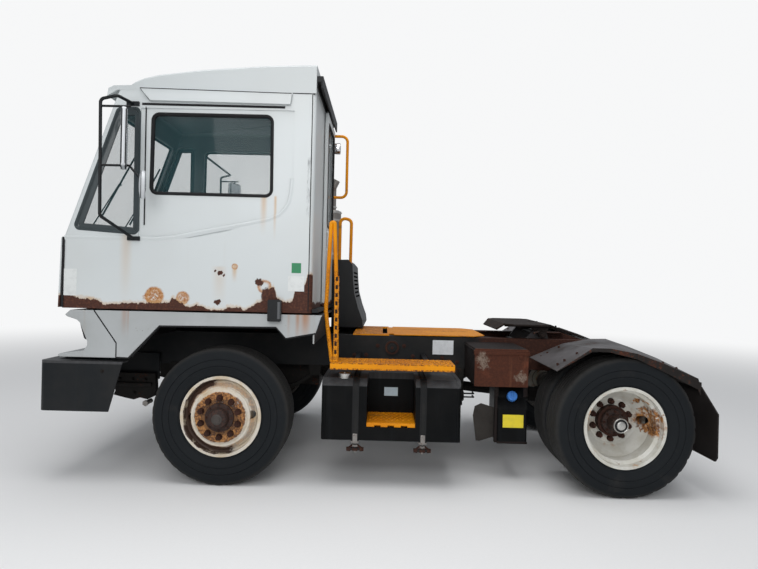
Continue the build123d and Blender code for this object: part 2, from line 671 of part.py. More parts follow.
HOOD_OUTLINE = [
    # places ahead of the rear axle and heights: rear foot, concave rear face, top, sloping front
    (1956, 1092), (1966, 1165), (2012, 1290), (2048, 1420), (2062, 1560), (2070, 1690), (2110, 1736),
    (3880, 1680), (3990, 1630), (4036, 1540), (4040, 1285),
]


HOOD_FOOT_X = ahead(2260)


def hood_block():
    """The hood's outer form as one solid."""
    outline = [(ahead(x), z) for x, z in HOOD_OUTLINE]
    return side_prism([*outline, (HOOD_FOOT_X, 1285), (HOOD_FOOT_X, 1092)], HOOD_OUTER_Y, HOOD_INNER_Y)


def engine_hood():
    """Black cover over the engine beside the cab, open below, with louvres in its rear face."""
    solid = hood_block()
    foot_x = HOOD_FOOT_X
    wall = HOOD_WALL
    cavity = [(ahead(1992), 1080), (ahead(1996), 1160), (ahead(2040), 1285), (ahead(2076), 1420),
              (ahead(2090), 1560), (ahead(2098), 1680), (ahead(2118), 1736 - wall), (ahead(3874), 1680 - wall),
              (ahead(3972), 1606), (ahead(4010), 1535), (ahead(4014), 1270), (foot_x - wall, 1270),
              (foot_x - wall, 1080)]
    solid -= side_prism(cavity, HOOD_OUTER_Y + wall, HOOD_INNER_Y - wall)
    solid -= block((ahead(4000), ahead(4060)), (HOOD_OUTER_Y + 130, HOOD_INNER_Y - 130), (1320, 1540))
    for index in range(8):
        z = 1330 + index * 40
        solid -= block((ahead(2030), ahead(2110)), (HOOD_OUTER_Y + 180, HOOD_INNER_Y - 180), (z, z + 18))
    return solid


def hood_grille():
    """Bars across the hood's front opening, in front of the radiator."""
    y0, y1 = HOOD_OUTER_Y + 130, HOOD_INNER_Y - 130
    x0, x1 = ahead(4016), ahead(4034)
    frame = block((x0, x1), (y0, y1), (1320, 1540))
    columns, rows = 14, 4
    width = (y1 - y0 - 30) / columns
    height = (220 - 24) / rows
    for column in range(columns):
        for row in range(rows):
            y = y0 + 18 + column * width
            z = 1334 + row * height
            frame -= block((x0 - 5, x1 + 5), (y, y + width - 9), (z, z + height - 9))
    return frame


MUFFLER_RADIUS = 85
MUFFLER_TOP_Z = 2235
TAILPIPE_RADIUS = 32


def exhaust_stack():
    """Upright muffler on the hood's rear end with a tailpipe, open at its slanted tip."""
    x, y = ahead(2298), -330
    stack = bar((x, y, HOOD_TOP_Z - 15), (x, y, MUFFLER_TOP_Z), MUFFLER_RADIUS)
    stack = chamfer(stack.edges().group_by(Axis.Z)[-1], 18)
    tip = (x - 36, y, MUFFLER_TOP_Z + 305)
    stack += bent_bar([(x, y, MUFFLER_TOP_Z - 20), (x, y, MUFFLER_TOP_Z + 230), tip], TAILPIPE_RADIUS, 60)
    stack -= bar((x, y, MUFFLER_TOP_Z + 250), (x - 45, y, MUFFLER_TOP_Z + 325), TAILPIPE_RADIUS - 4)
    foot = MUFFLER_RADIUS + 15
    stack += block((x - foot, x + foot), (y - foot, y + foot), (HOOD_TOP_Z - 25, HOOD_TOP_Z + 8))
    return stack - hood_block()


# Deck, steps, tanks and boxes


def deck_plates():
    """Fixed yellow deck between the cab and the boom."""
    plate = block((FRONT_DECK_REAR_X, FRONT_DECK_FRONT_X), (-FRAME_HALF_WIDTH, FRAME_HALF_WIDTH),
                  (RAIL_TOP_Z, DECK_TOP_Z))
    for y0, y1 in ((RAIL_INSIDE_Y, FRAME_HALF_WIDTH), (-FRAME_HALF_WIDTH, -RAIL_INSIDE_Y)):
        plate += block((DECK_TAB_X, FRONT_DECK_FRONT_X), (y0, y1), (RAIL_TOP_Z, DECK_TOP_Z))
    return plate


def side_steps():
    """Yellow grip-tread step above the tank with its two arms, and the tread in the tank's recess."""
    upper = block((STEP_REAR_X, STEP_FRONT_X), (STEP_INNER_Y, SIDE_FACE_Y),
                  (STEP_TOP_Z - STEP_EDGE, STEP_TOP_Z))
    upper -= block((STEP_REAR_X + 6, STEP_FRONT_X - 6), (STEP_INNER_Y + 6, SIDE_FACE_Y - 6),
                   (STEP_TOP_Z - STEP_EDGE - 5, STEP_TOP_Z - 8))
    for x in STEP_ARMS:
        upper += block((x - 20, x + 20), (FRAME_HALF_WIDTH, SIDE_FACE_Y - 20),
                       (STEP_TOP_Z - 42, STEP_TOP_Z - 8))
    lower = block((TREAD_REAR_X, TREAD_FRONT_X), (SIDE_FACE_Y - TREAD_DEPTH, SIDE_FACE_Y - 4),
                  (TREAD_TOP_Z - 30, TREAD_TOP_Z))
    for index in range(3):
        x = TREAD_REAR_X + 58 + index * 98
        lower -= block((x, x + 46), (SIDE_FACE_Y - 30, SIDE_FACE_Y), (TREAD_TOP_Z - 40, TREAD_TOP_Z - 18))
    return grouped([upper, lower])


STRAP_PLACES = [ahead(1953), ahead(1456)]
TANK_BEVEL = 62  # width of the upper bevel; its height is two thirds of that
TANK_SECTION = [
    (TANK_INNER_Y, TANK_BOTTOM_Z), (SIDE_FACE_Y, TANK_BOTTOM_Z), (SIDE_FACE_Y, TANK_TOP_Z - TANK_BEVEL / 1.5),
    (SIDE_FACE_Y - TANK_BEVEL, TANK_TOP_Z), (TANK_INNER_Y, TANK_TOP_Z),
]


def fuel_tank():
    """Square tank with bevelled upper edge, a step recess in the middle and a filler cap."""
    tank = front_prism(TANK_SECTION, TANK_REAR_X, TANK_FRONT_X)
    tank = fillet(tank.edges().filter_by(Axis.Z), 22)
    tank -= block((TREAD_REAR_X, TREAD_FRONT_X), (SIDE_FACE_Y - TREAD_DEPTH, SIDE_FACE_Y + 10),
                  (TREAD_TOP_Z - 30, TANK_TOP_Z + 10))
    cap_x, cap_y = ahead(2043), SIDE_FACE_Y - 100
    tank += bar((cap_x, cap_y, TANK_TOP_Z - 10), (cap_x, cap_y, TANK_TOP_Z + 22), 44)
    return tank


def tank_straps():
    """Steel straps round the tank with the hanger bolts below and brackets to the rail."""
    straps = []
    cross_z = TANK_BOTTOM_Z - 76
    for x in STRAP_PLACES:
        strap = front_prism([(FRAME_HALF_WIDTH, TANK_BOTTOM_Z - 6), (SIDE_FACE_Y + 6, TANK_BOTTOM_Z - 6),
                             (SIDE_FACE_Y + 6, TANK_TOP_Z - 37), (SIDE_FACE_Y - 60, TANK_TOP_Z + 6),
                             (FRAME_HALF_WIDTH, TANK_TOP_Z + 6)], x - 24, x + 24)
        strap -= front_prism(TANK_SECTION, x - 30, x + 30)
        strap -= block((x - 30, x + 30), (0, TANK_INNER_Y - 12), (TANK_BOTTOM_Z + 40, RAIL_BOTTOM_Z - 30))
        strap += bar((x, SIDE_FACE_Y - 40, cross_z - 8), (x, SIDE_FACE_Y - 40, TANK_BOTTOM_Z - 4), 14)
        strap += bar((x - 58, SIDE_FACE_Y - 40, cross_z), (x + 58, SIDE_FACE_Y - 40, cross_z), 12)
        straps.append(strap)
    return grouped(straps)


BOX_FACE_Y = SIDE_FACE_Y - 200


def battery_box():
    """Plain steel box that hangs from the left rail behind the tank."""
    box = block((ahead(642), ahead(1054)), (FRAME_HALF_WIDTH, BOX_FACE_Y), (740, 1030))
    box = fillet(box.edges().filter_by(Axis.Y), 8)
    return box


def fluid_tank():
    """Small tank under the battery box with a sloping filler shoulder and a round cap."""
    face = BOX_FACE_Y - 40
    section = [(560, 296), (face, 296), (face, 560), (face - 60, 640), (face - 110, 740), (560, 740)]
    tank = front_prism(section, ahead(632), ahead(862))
    tank = fillet(tank.edges().filter_by(Axis.Z), 12)
    tank += bar((ahead(743), face - 88, 626), (ahead(743), face - 34, 660), 36)
    return tank


FENDER_EDGES = [
    # places ahead of the rear axle and heights along the bent sheet: outer edge, then inner edge
    (508, 915, 540, 930),
    (256, 1083, 271, 1050),
    (129, 1083, 50, 1094),
    (-63, 1050, -83, 1098),
    (-256, 984, -276, 1036),
    (-500, 884, -505, 950),
    (-520, 826, -535, 890),
]
FENDER_INNER_Y = 600
FENDER_OUTER_Y = BODY_HALF_WIDTH + 22
FENDER_SHEET = 5


def rear_fenders():
    """Bent-sheet fenders over the rear wheels, a little twisted, with brackets from the frame to each."""
    sections = []
    for y, column in ((FENDER_OUTER_Y, 0), (FENDER_INNER_Y, 2)):
        top = [(ahead(row[column]), y, row[column + 1]) for row in FENDER_EDGES]
        under = [(x, y, z - FENDER_SHEET) for x, y, z in reversed(top)]
        sections.append(make_face(Polyline(*top, *under, close=True)))
    sheet = loft(sections, ruled=True)
    pieces = [sheet]
    for x, z in ((ahead(410), 940), (ahead(-440), 906)):
        pieces.append(block((x - 18, x + 18), (FRAME_HALF_WIDTH, FENDER_INNER_Y + 30), (z - 60, z - 24))
                      + block((x - 18, x + 18), (FENDER_INNER_Y + 8, FENDER_INNER_Y + 24), (z - 60, z + 40)))
    pieces = [sheet, *[piece - sheet for piece in pieces[1:]]]
    return grouped([*pieces, *[flip(piece) for piece in pieces]])


FLAP_REAR_X = ahead(-REAR_OVERHANG)
FLAP_THICKNESS = 12
FLAP_OUTLINE = [
    # y and z of the flap seen from behind, lower inner corner first
    (FENDER_INNER_Y + 10, 278), (FENDER_OUTER_Y - 27, 284), (FENDER_OUTER_Y, 318), (FENDER_OUTER_Y, 630),
    (FENDER_OUTER_Y - 216, 790), (FENDER_INNER_Y + 10, 800),
]


def mudflaps():
    """Thick rubber flaps behind the rear wheels with a bevelled upper corner, on arms from the rails."""
    flap = front_prism(FLAP_OUTLINE, FLAP_REAR_X, FLAP_REAR_X + FLAP_THICKNESS)
    flap += block((FLAP_REAR_X, FLAP_REAR_X + 40), (FRAME_HALF_WIDTH, 1000),
                  (TAIL_TOP_Z - 100, TAIL_TOP_Z - 60))
    return grouped([flap, flip(flap)])


def side_tanks():
    """Two air tanks and the hydraulic oil tank along the right rail."""
    pieces = []
    for x0, x1 in ((ahead(1200), ahead(1640)), (ahead(1680), ahead(2120))):
        pieces.append(bar((x0, -640, 690), (x1, -640, 690), 130))
        for x in (x0 + 80, x1 - 80):
            pieces[-1] += block((x - 15, x + 15), (-660, -FRAME_HALF_WIDTH), (800, 850))
    oil = block((ahead(640), ahead(1080)), (-900, -FRAME_HALF_WIDTH), (600, 1000))
    oil = fillet(oil.edges().filter_by(Axis.Z), 25)
    oil += bar((ahead(960), -780, 990), (ahead(960), -780, 1030), 40)
    pieces.append(oil)
    return grouped(pieces)


def tail_lamps():
    """Round lamps in a bar across the rear ends of the rails."""
    x = RAIL_REAR_X
    low, high = RAIL_BOTTOM_Z - 20, TAIL_TOP_Z - 20
    bar_plate = block((x - 10, x), (-FRAME_HALF_WIDTH, FRAME_HALF_WIDTH), (low, high))
    for sign in (1, -1):
        for y in (sign * 330, sign * 205):
            bar_plate += bar((x - 30, y, (low + high) / 2), (x - 6, y, (low + high) / 2), 42)
    return bar_plate


# Handrails

RAIL_TUBE = 15


def handrails():
    """Yellow hoop beside the upper step and the hooked rail behind the hood."""
    y = SIDE_FACE_Y - 45
    x = STEP_FRONT_X
    hoop = bent_bar([(x - 8, y, STEP_TOP_Z), (x + 44, y, 1300), (x + 18, y, 1958),
                     (x - 8, y, 1958), (x - 36, y, 1385), (x - 44, y, STEP_TOP_Z)],
                    RAIL_TUBE, 11)
    grip = block((x - 50, x - 20), (y - 20, y + 20), (STEP_TOP_Z, 1560))
    hoop += grip
    hook_x = ahead(2200)
    rail = bent_bar([(hook_x, -100, 1700), (hook_x, -100, 2140), (hook_x - 108, -100, 2120),
                     (hook_x - 106, -100, 1690)], RAIL_TUBE, 45)
    step = block((STEP_REAR_X, STEP_FRONT_X), (STEP_INNER_Y, SIDE_FACE_Y), (STEP_TOP_Z - 100, STEP_TOP_Z))
    return grouped([hoop - step, rail - hood_block()])


# Cab panels

ROOF_FALL = 24
CAB_SIDE = [
    # places ahead of the rear axle and heights: bottom rear, bottom front, belt, pillar top, eaves
    (2285, CAB_BOTTOM_Z), (4118, CAB_BOTTOM_Z), (4110, BELT_Z), (3773, PILLAR_TOP_Z), (3733, EAVES_Z),
    (2285, EAVES_Z),
]
SIDE_WINDOW = [(2596, 2128), (3481, 2133), (3476, EAVES_Z - 166), (2602, EAVES_Z - 168)]
QUARTER_WINDOW = [
    (3566, BELT_Z + 29), (4032, BELT_Z + 59), (3727, PILLAR_TOP_Z - 23), (3570, PILLAR_TOP_Z - 19),
]
WINDOW_CORNER = 48


def shape_at(outline):
    """Outline given ahead of the rear axle, as X and Z."""
    return [(ahead(x), z) for x, z in outline]


def window_block(outline, y0, y1, corner):
    """Window-shaped prism with rounded corners."""
    prism = side_prism(shape_at(outline), y0, y1)
    return fillet(prism.edges().filter_by(Axis.Y), corner)


def cab_side(outer):
    """One side wall of the cab with its big window and the quarter window in front of it."""
    if outer:
        y0, y1 = CAB_OUTER_Y - CAB_WALL, CAB_OUTER_Y
    else:
        y0, y1 = CAB_INNER_Y, CAB_INNER_Y + CAB_WALL
    wall = side_prism(shape_at(CAB_SIDE), y0, y1)
    skin_y = y1 if outer else y0
    rim = [edge for edge in wall.edges() if abs(edge.center().Y - skin_y) < 0.01]
    rim = [edge for edge in rim if edge.center().X < CAB_REAR_X + 1 or edge.center().X > PILLAR_TOP_X + 10]
    wall = fillet(rim, CAB_WALL - 15)
    wall -= window_block(SIDE_WINDOW, y0 - 5, y1 + 5, WINDOW_CORNER)
    wall -= window_block(QUARTER_WINDOW, y0 - 5, y1 + 5, 30)
    if outer:
        wall -= side_recess()
    return wall


def side_recess():
    """Shallow sunk field round the side window, bounded below by the sweeping crease."""
    depth = 9
    y = CAB_OUTER_Y - depth
    p = [(ahead(x), y, z) for x, z in
         ((3560, EAVES_Z - 128), (3560, 1800), (3200, 1812), (2800, 1905), (2500, 2030), (2440, 2180),
          (2440, EAVES_Z - 128))]
    crease = ThreePointArc(p[1], p[2], p[3])
    sweep_up = ThreePointArc(p[3], ((p[3][0] + p[4][0]) / 2 + 5, y, (p[3][2] + p[4][2]) / 2 - 8), p[4])
    turn = ThreePointArc(p[4], ((p[4][0] + p[5][0]) / 2 - 12, y, (p[4][2] + p[5][2]) / 2 - 8), p[5])
    edge = Wire([Line(p[0], p[1]), crease, sweep_up, turn, Line(p[5], p[6]), Line(p[6], p[0])])
    return extrude(make_face(edge), depth + 5, dir=(0, 1, 0))


INSIDE_LEFT_Y = CAB_OUTER_Y - CAB_WALL
INSIDE_RIGHT_Y = CAB_INNER_Y + CAB_WALL


def screen_block(behind, before):
    """Windscreen-shaped slab between two distances from the raked face, along X."""
    lean = (PILLAR_TOP_X - ahead(4110)) / (PILLAR_TOP_Z - BELT_Z)
    low, high = BELT_Z + 60, PILLAR_TOP_Z - 40
    low_x = ahead(4110) + (low - BELT_Z) * lean
    high_x = ahead(4110) + (high - BELT_Z) * lean
    outline = [(low_x - behind, low), (low_x + before, low), (high_x + before, high), (high_x - behind, high)]
    return side_prism(outline, INSIDE_RIGHT_Y + 40, INSIDE_LEFT_Y - 40)


def cab_front():
    """Front wall: upright panel below the belt and the raked windscreen frame above it."""
    top_x = ahead(3733)
    inside = ahead(4110) - CAB_WALL
    panel = side_prism([(inside, CAB_BOTTOM_Z), (CAB_FRONT_X, CAB_BOTTOM_Z), (ahead(4110), BELT_Z),
                        (PILLAR_TOP_X, PILLAR_TOP_Z), (top_x, EAVES_Z), (top_x - CAB_WALL, EAVES_Z),
                        (PILLAR_TOP_X - CAB_WALL, PILLAR_TOP_Z), (inside, BELT_Z)],
                       INSIDE_RIGHT_Y, INSIDE_LEFT_Y)
    return panel - screen_block(100, 60)


def cab_rear():
    """Rear wall with the doorway on the hood's side."""
    front_x = CAB_REAR_X + CAB_WALL
    wall = block((CAB_REAR_X, front_x), (INSIDE_RIGHT_Y, INSIDE_LEFT_Y), (CAB_BOTTOM_Z, EAVES_Z))
    doorway_y = (DOORWAY_INNER_Y, DOORWAY_INNER_Y + DOORWAY_WIDTH)
    opening = block((CAB_REAR_X - 5, front_x + 5), doorway_y, (DOORWAY_BOTTOM_Z, DOORWAY_TOP_Z))
    opening = fillet(opening.edges().filter_by(Axis.X), 40)
    return wall - opening


FLOOR_TOP_Z = CAB_BOTTOM_Z + 50
TILT_RAM_Y = 285
TILT_BASE_X = ahead(3600)
TILT_BASE_Z = 862
TILT_EYE_X = ahead(3800)
TILT_EYE_Z = CAB_BOTTOM_Z - 45


def cab_floor():
    """Floor between the walls, with the hinge ears that carry the tilting cab at its front."""
    floor = block((CAB_REAR_X + CAB_WALL, ahead(4110) - CAB_WALL), (INSIDE_RIGHT_Y, INSIDE_LEFT_Y),
                  (CAB_BOTTOM_Z, FLOOR_TOP_Z))
    for y in HINGE_PLACES:
        floor += block((CAB_PIVOT_X - 28, CAB_PIVOT_X + 28), (y - 22, y + 22),
                       (CAB_PIVOT_Z, CAB_BOTTOM_Z + 5))
        floor += bar((CAB_PIVOT_X, y - 22, CAB_PIVOT_Z), (CAB_PIVOT_X, y + 22, CAB_PIVOT_Z), 28)
        floor -= bar((CAB_PIVOT_X, y - 60, CAB_PIVOT_Z), (CAB_PIVOT_X, y + 60, CAB_PIVOT_Z), 14 + RUNNING_GAP)
    for y in (TILT_RAM_Y - LUG_GAP - LUG_PLATE, TILT_RAM_Y + LUG_GAP):
        floor += side_prism([(TILT_EYE_X - 30, TILT_EYE_Z - 26), (TILT_EYE_X + 30, TILT_EYE_Z - 26),
                             (TILT_EYE_X + 50, CAB_BOTTOM_Z + 2), (TILT_EYE_X - 50, CAB_BOTTOM_Z + 2)],
                            y, y + LUG_PLATE)
    for inner, out in ((TILT_RAM_Y - LUG_GAP, -1), (TILT_RAM_Y + LUG_GAP, 1)):
        outer = inner + out * (LUG_PLATE + PIN_HEAD)
        floor += bar((TILT_EYE_X, inner, TILT_EYE_Z), (TILT_EYE_X, outer, TILT_EYE_Z), 24)
    return floor


CHEEK_OUTLINE = [(-200, -110), (-155, -110), (-155, -44), (26, -30), (26, 24), (-20, 24), (-200, -10)]


def cab_mounts():
    """Beam behind the nose with the tilting cab's hinge brackets, and the tilt ram's foot."""
    beam = block((CAB_PIVOT_X - 215, CAB_PIVOT_X - 155), (-FRAME_HALF_WIDTH, HINGE_PLACES[1] + 60),
                 (RAIL_TOP_Z, CAB_PIVOT_Z - 50))
    outline = [(CAB_PIVOT_X + x, CAB_PIVOT_Z + z) for x, z in CHEEK_OUTLINE]
    for y in HINGE_PLACES:
        beam += bar((CAB_PIVOT_X, y - 46, CAB_PIVOT_Z), (CAB_PIVOT_X, y + 46, CAB_PIVOT_Z), 14)
        for cheek in (y - 44, y + 30):
            beam += side_prism(outline, cheek, cheek + 14)
    foot = block((TILT_BASE_X - 60, TILT_BASE_X + 60), (TILT_RAM_Y - 70, WEB_INSIDE_Y),
                 (RAIL_BOTTOM_Z + RAIL_WEB, TILT_BASE_Z - 40))
    end = LUG_GAP + LUG_PLATE
    for y in (TILT_RAM_Y - end, TILT_RAM_Y + LUG_GAP):
        foot += block((TILT_BASE_X - 34, TILT_BASE_X + 34), (y, y + LUG_PLATE),
                      (TILT_BASE_Z - 42, TILT_BASE_Z + 30))
    pin_end = (TILT_BASE_X, TILT_RAM_Y + end, TILT_BASE_Z)
    foot += bar((TILT_BASE_X, TILT_RAM_Y - end, TILT_BASE_Z), pin_end, 18)
    return grouped([beam, foot])


VISOR_OUTLINE = [(3733, 0), (3812, -45), (3803, 12), (3766, 32), (3600, 38), (3500, 38), (3500, 0)]
CROWN_OUTLINE = [(3640, 0), (3640, 28), (3612, 64), (3547, 92), (3440, 118), (3120, 161), (2640, 199),
                 (2400, 208)]


def cab_roof():
    """Moulded roof: low visor over the windscreen, a step, then the crowned cap that rises to the rear."""
    visor = side_prism([(ahead(x), EAVES_Z + up) for x, up in VISOR_OUTLINE], CAB_INNER_Y, CAB_OUTER_Y)
    crown = [(ahead(x), EAVES_Z + up) for x, up in CROWN_OUTLINE]
    base = side_prism([*crown, (CAB_REAR_X, ROOF_REAR_Z), (CAB_REAR_X, EAVES_Z)], CAB_INNER_Y, CAB_OUTER_Y)
    top_edges = [edge for edge in base.edges() if edge.center().Z > EAVES_Z + 50]
    sides = [edge for edge in top_edges if abs(edge.center().Y - (CAB_INNER_Y + CAB_OUTER_Y) / 2) > 500]
    sides = [edge for edge in sides if edge.length > 60 and abs(edge.tangent_at(0.5).Z) < 0.5]
    base = chamfer(sides, 14)
    roof = visor + base
    roof -= side_prism([(ahead(2330), EAVES_Z - 5), (ahead(3700), EAVES_Z - 5), (ahead(3500), EAVES_Z + 10),
                        (ahead(2330), EAVES_Z + 150)], INSIDE_RIGHT_Y, INSIDE_LEFT_Y)
    gutter = side_prism([(ahead(2470), EAVES_Z - 90), (ahead(3490), EAVES_Z - 80), (ahead(3566), EAVES_Z + 12),
                         (ahead(2458), EAVES_Z - 8)], CAB_OUTER_Y, CAB_OUTER_Y + 26)
    return roof + gutter


def cab_glass():
    """Fixed panes: side windows, quarter windows and windscreen."""
    panes = []
    for y in (CAB_OUTER_Y - 30, CAB_INNER_Y + 24):
        panes.append(window_block(SIDE_WINDOW, y, y + 6, WINDOW_CORNER))
        panes.append(window_block(QUARTER_WINDOW, y, y + 6, 30))
    panes.append(screen_block(26, -20))
    return grouped(panes)


DOOR_FRONT_X = CAB_REAR_X - MOVING_GAP
DOOR_REAR_X = DOOR_FRONT_X - DOOR_THICKNESS
DOOR_Y = (DOORWAY_INNER_Y - DOOR_LAP, DOORWAY_INNER_Y + DOORWAY_WIDTH + DOOR_LAP)
DOOR_BOTTOM_Z = DOORWAY_BOTTOM_Z - 50
DOOR_TOP_Z = DOORWAY_TOP_Z + 50
DOOR_WINDOW_Y = (DOOR_Y[0] + 55, DOOR_Y[1] - 55)
DOOR_WINDOW_Z = (1985, DOORWAY_TOP_Z - 20)


def door_window(x0, x1):
    """Tall window shape in the sliding door."""
    prism = block((x0, x1), DOOR_WINDOW_Y, DOOR_WINDOW_Z)
    return fillet(prism.edges().filter_by(Axis.X), 40)


def rear_door():
    """Sliding door with a tall window, a pull handle and two hangers up to the track."""
    door = block((DOOR_REAR_X, DOOR_FRONT_X), DOOR_Y, (DOOR_BOTTOM_Z, DOOR_TOP_Z))
    door -= door_window(DOOR_REAR_X - 5, DOOR_FRONT_X + 5)
    for y in (DOOR_Y[0] + 90, DOOR_Y[1] - 90):
        door += block((DOOR_REAR_X + 8, DOOR_REAR_X + 18), (y - 25, y + 25), (DOOR_TOP_Z - 5, TRACK_Z + 14))
    door += block((DOOR_REAR_X - 22, DOOR_REAR_X - 10), (DOOR_Y[1] - 46, DOOR_Y[1] - 26), (1780, 1940))
    for z in (1780, 1924):
        door += block((DOOR_REAR_X - 12, DOOR_REAR_X + 2), (DOOR_Y[1] - 46, DOOR_Y[1] - 26), (z, z + 16))
    return door


def door_glass():
    """Pane of the sliding door."""
    middle = (DOOR_REAR_X + DOOR_FRONT_X) / 2
    return door_window(middle - 3, middle + 3)


TRACK_Z = DOOR_TOP_Z + 20


def door_track():
    """Black track above the doorway and the guide rail below it, right across the rear wall."""
    y0, y1 = CAB_INNER_Y + 20, CAB_OUTER_Y - 10
    track = block((CAB_REAR_X - 46, CAB_REAR_X), (y0, y1), (TRACK_Z - 2, TRACK_Z + 80))
    track -= block((CAB_REAR_X - 34, CAB_REAR_X - 8), (y0 - 5, y1 + 5), (TRACK_Z - 10, TRACK_Z + 40))
    guide = block((CAB_REAR_X - 44, CAB_REAR_X), (y0, y1), (DOOR_BOTTOM_Z - 30, DOOR_BOTTOM_Z - MOVING_GAP))
    return grouped([track, guide])


def cab_lamps():
    """Box lamp on the cab's lower rear edge and the round work lamp on the rear wall."""
    box = block((ahead(2505), ahead(2598)), (CAB_OUTER_Y, CAB_OUTER_Y + 42),
                (CAB_BOTTOM_Z - 63, CAB_BOTTOM_Z + 93))
    box = fillet(box.edges().filter_by(Axis.Y), 8)
    z = EAVES_Z - 105
    y = CAB_INNER_Y + 6
    lamp = bar((CAB_REAR_X - 72, y, z), (CAB_REAR_X - 12, y, z), 48)
    lamp += block((CAB_REAR_X - 20, CAB_REAR_X), (CAB_INNER_Y + 32, CAB_INNER_Y + 48), (z - 15, z + 15))
    lamp += block((CAB_REAR_X - 20, CAB_REAR_X - 12), (CAB_INNER_Y, CAB_INNER_Y + 48), (z - 15, z + 15))
    return grouped([box, lamp])


def cab_grab_handle():
    """Yellow grab handle at the rear wall's right edge."""
    y = CAB_INNER_Y + 34
    x = CAB_REAR_X - 148
    low, high = EAVES_Z - 568, EAVES_Z + 5
    end_x = CAB_REAR_X - 2
    handle = bent_bar([(end_x, y, high), (x, y, high), (x, y, low), (end_x, y, low)], 13, 55)
    for z in (low, high):
        handle += block((CAB_REAR_X - 8, CAB_REAR_X), (y - 18, y + 12), (z - 22, z + 22))
    return handle


def corner_strip():
    """Narrow upright panel that stands just off the cab's lower front."""
    outline = [(CAB_FRONT_X + 12, CAB_BOTTOM_Z + 4), (CAB_FRONT_X + 24, CAB_BOTTOM_Z + 4),
               (ahead(4128), BELT_Z - 14), (ahead(4117), BELT_Z - 2)]
    strip = side_prism(outline, CAB_INNER_Y + 20, CAB_OUTER_Y - 8)
    for y in (CAB_INNER_Y + 120, CAB_OUTER_Y - 120):
        for z in (CAB_BOTTOM_Z + 60, BELT_Z - 90):
            strip += bar((CAB_FRONT_X - 10, y, z), (CAB_FRONT_X + 16, y, z), 14)
    return strip - side_prism(shape_at(CAB_SIDE), CAB_INNER_Y, CAB_OUTER_Y)


# Mirrors

MIRROR_Y = BODY_HALF_WIDTH + 190
MIRROR_TOP_Z = EAVES_Z - 105
MIRROR_TURN = 24  # degrees that the mirror heads are turned in towards the driver


def mirror_set(side_y, reach_y):
    """Bent tube bracket with a tall flat mirror and a round one, from the cab side outwards."""
    out = 1 if reach_y > side_y else -1
    pad = side_y + out * 12
    top = MIRROR_TOP_Z
    foot = BELT_Z - 7
    run = [(ahead(3590), pad, foot), (ahead(3745), reach_y, foot + 140), (ahead(3757), reach_y, top - 27),
           (ahead(3640), reach_y, top), (ahead(3615), pad, top + 3)]
    bracket = bent_bar(run, 11, 30)
    pad_y = sorted((side_y, side_y + out * 16))
    for x, z in ((3590, foot), (3615, top + 3)):
        bracket += block((ahead(x - 45), ahead(x + 45)), pad_y, (z - 15, z + 15))
    arm_x = ahead(3588)
    for z in (top - 75, top - 485):
        bracket += bar((ahead(3752), reach_y, z), (ahead(3545), reach_y, z), 8)
    bracket += bar((arm_x, reach_y, top - 485), (arm_x, reach_y, top - 75), 8)
    flat = block((arm_x - 18, arm_x + 18), (reach_y - 90, reach_y + 90), (top - 500, top - 100))
    flat = fillet(flat.edges().filter_by(Axis.X), 22)
    bracket += flat.rotate(Axis((arm_x, reach_y, 0), (0, 0, 1)), out * MIRROR_TURN)
    round_x, round_z = ahead(3450), top - 615
    disc = bar((round_x - 14, reach_y, round_z), (round_x + 14, reach_y, round_z), 95)
    bracket += disc.rotate(Axis((round_x, reach_y, 0), (0, 0, 1)), out * MIRROR_TURN)
    bracket += bar((round_x, reach_y, round_z + 20), (ahead(3548), reach_y, top - 483), 8)
    return bracket


def mirrors():
    """Mirror brackets on both sides: short on the left, long over the hood on the right."""
    return grouped([mirror_set(CAB_OUTER_Y, MIRROR_Y), mirror_set(CAB_INNER_Y, -MIRROR_Y)])


# Cab inside

SEAT_X = ahead(2980)
SEAT_Y = 620
SEAT_TOP_Z = FLOOR_TOP_Z + 330


def seat_base():
    """Sprung seat base between the floor and the cushion."""
    base = block((SEAT_X - 200, SEAT_X + 220), (SEAT_Y - 190, SEAT_Y + 190), (FLOOR_TOP_Z, FLOOR_TOP_Z + 60))
    base += block((SEAT_X - 160, SEAT_X + 180), (SEAT_Y - 160, SEAT_Y + 160),
                  (FLOOR_TOP_Z + 60, SEAT_TOP_Z - 30))
    base += block((SEAT_X - 220, SEAT_X + 240), (SEAT_Y - 220, SEAT_Y + 220), (SEAT_TOP_Z - 30, SEAT_TOP_Z))
    return base


def seat_cushion():
    """Seat cushion."""
    pad = block((SEAT_X - 230, SEAT_X + 260), (SEAT_Y - 250, SEAT_Y + 250), (SEAT_TOP_Z, SEAT_TOP_Z + 110))
    return fillet(pad.edges().filter_by(Axis.Z), 50)


def seat_back():
    """Seat back, leaning a little rearwards."""
    outline = [(SEAT_X - 235, SEAT_TOP_Z + 60), (SEAT_X - 360, SEAT_TOP_Z + 60),
               (SEAT_X - 450, SEAT_TOP_Z + 720), (SEAT_X - 350, SEAT_TOP_Z + 730)]
    pad = side_prism(outline, SEAT_Y - 240, SEAT_Y + 240)
    return fillet(pad.edges().filter_by(Axis.Y), 35)


WHEEL_HUB = (ahead(3500), SEAT_Y, 2090)
WHEEL_LEAN = 30


def steering_wheel():
    """Steering wheel with three spokes on a sloping column."""
    lean = math.radians(WHEEL_LEAN)
    plane = Plane(origin=WHEEL_HUB, z_dir=(-math.sin(lean), 0, math.cos(lean)))
    ring = plane * Torus(205, 15)
    for angle in (90, 210, 330):
        spoke = plane * Rot(0, 0, angle) * Pos(100, 0, -12) * Box(206, 28, 10)
        ring += spoke
    ring += plane * Pos(0, 0, -25) * Cylinder(46, 50)
    ring += plane * Pos(0, 0, -300) * Cylinder(26, 520)
    return ring


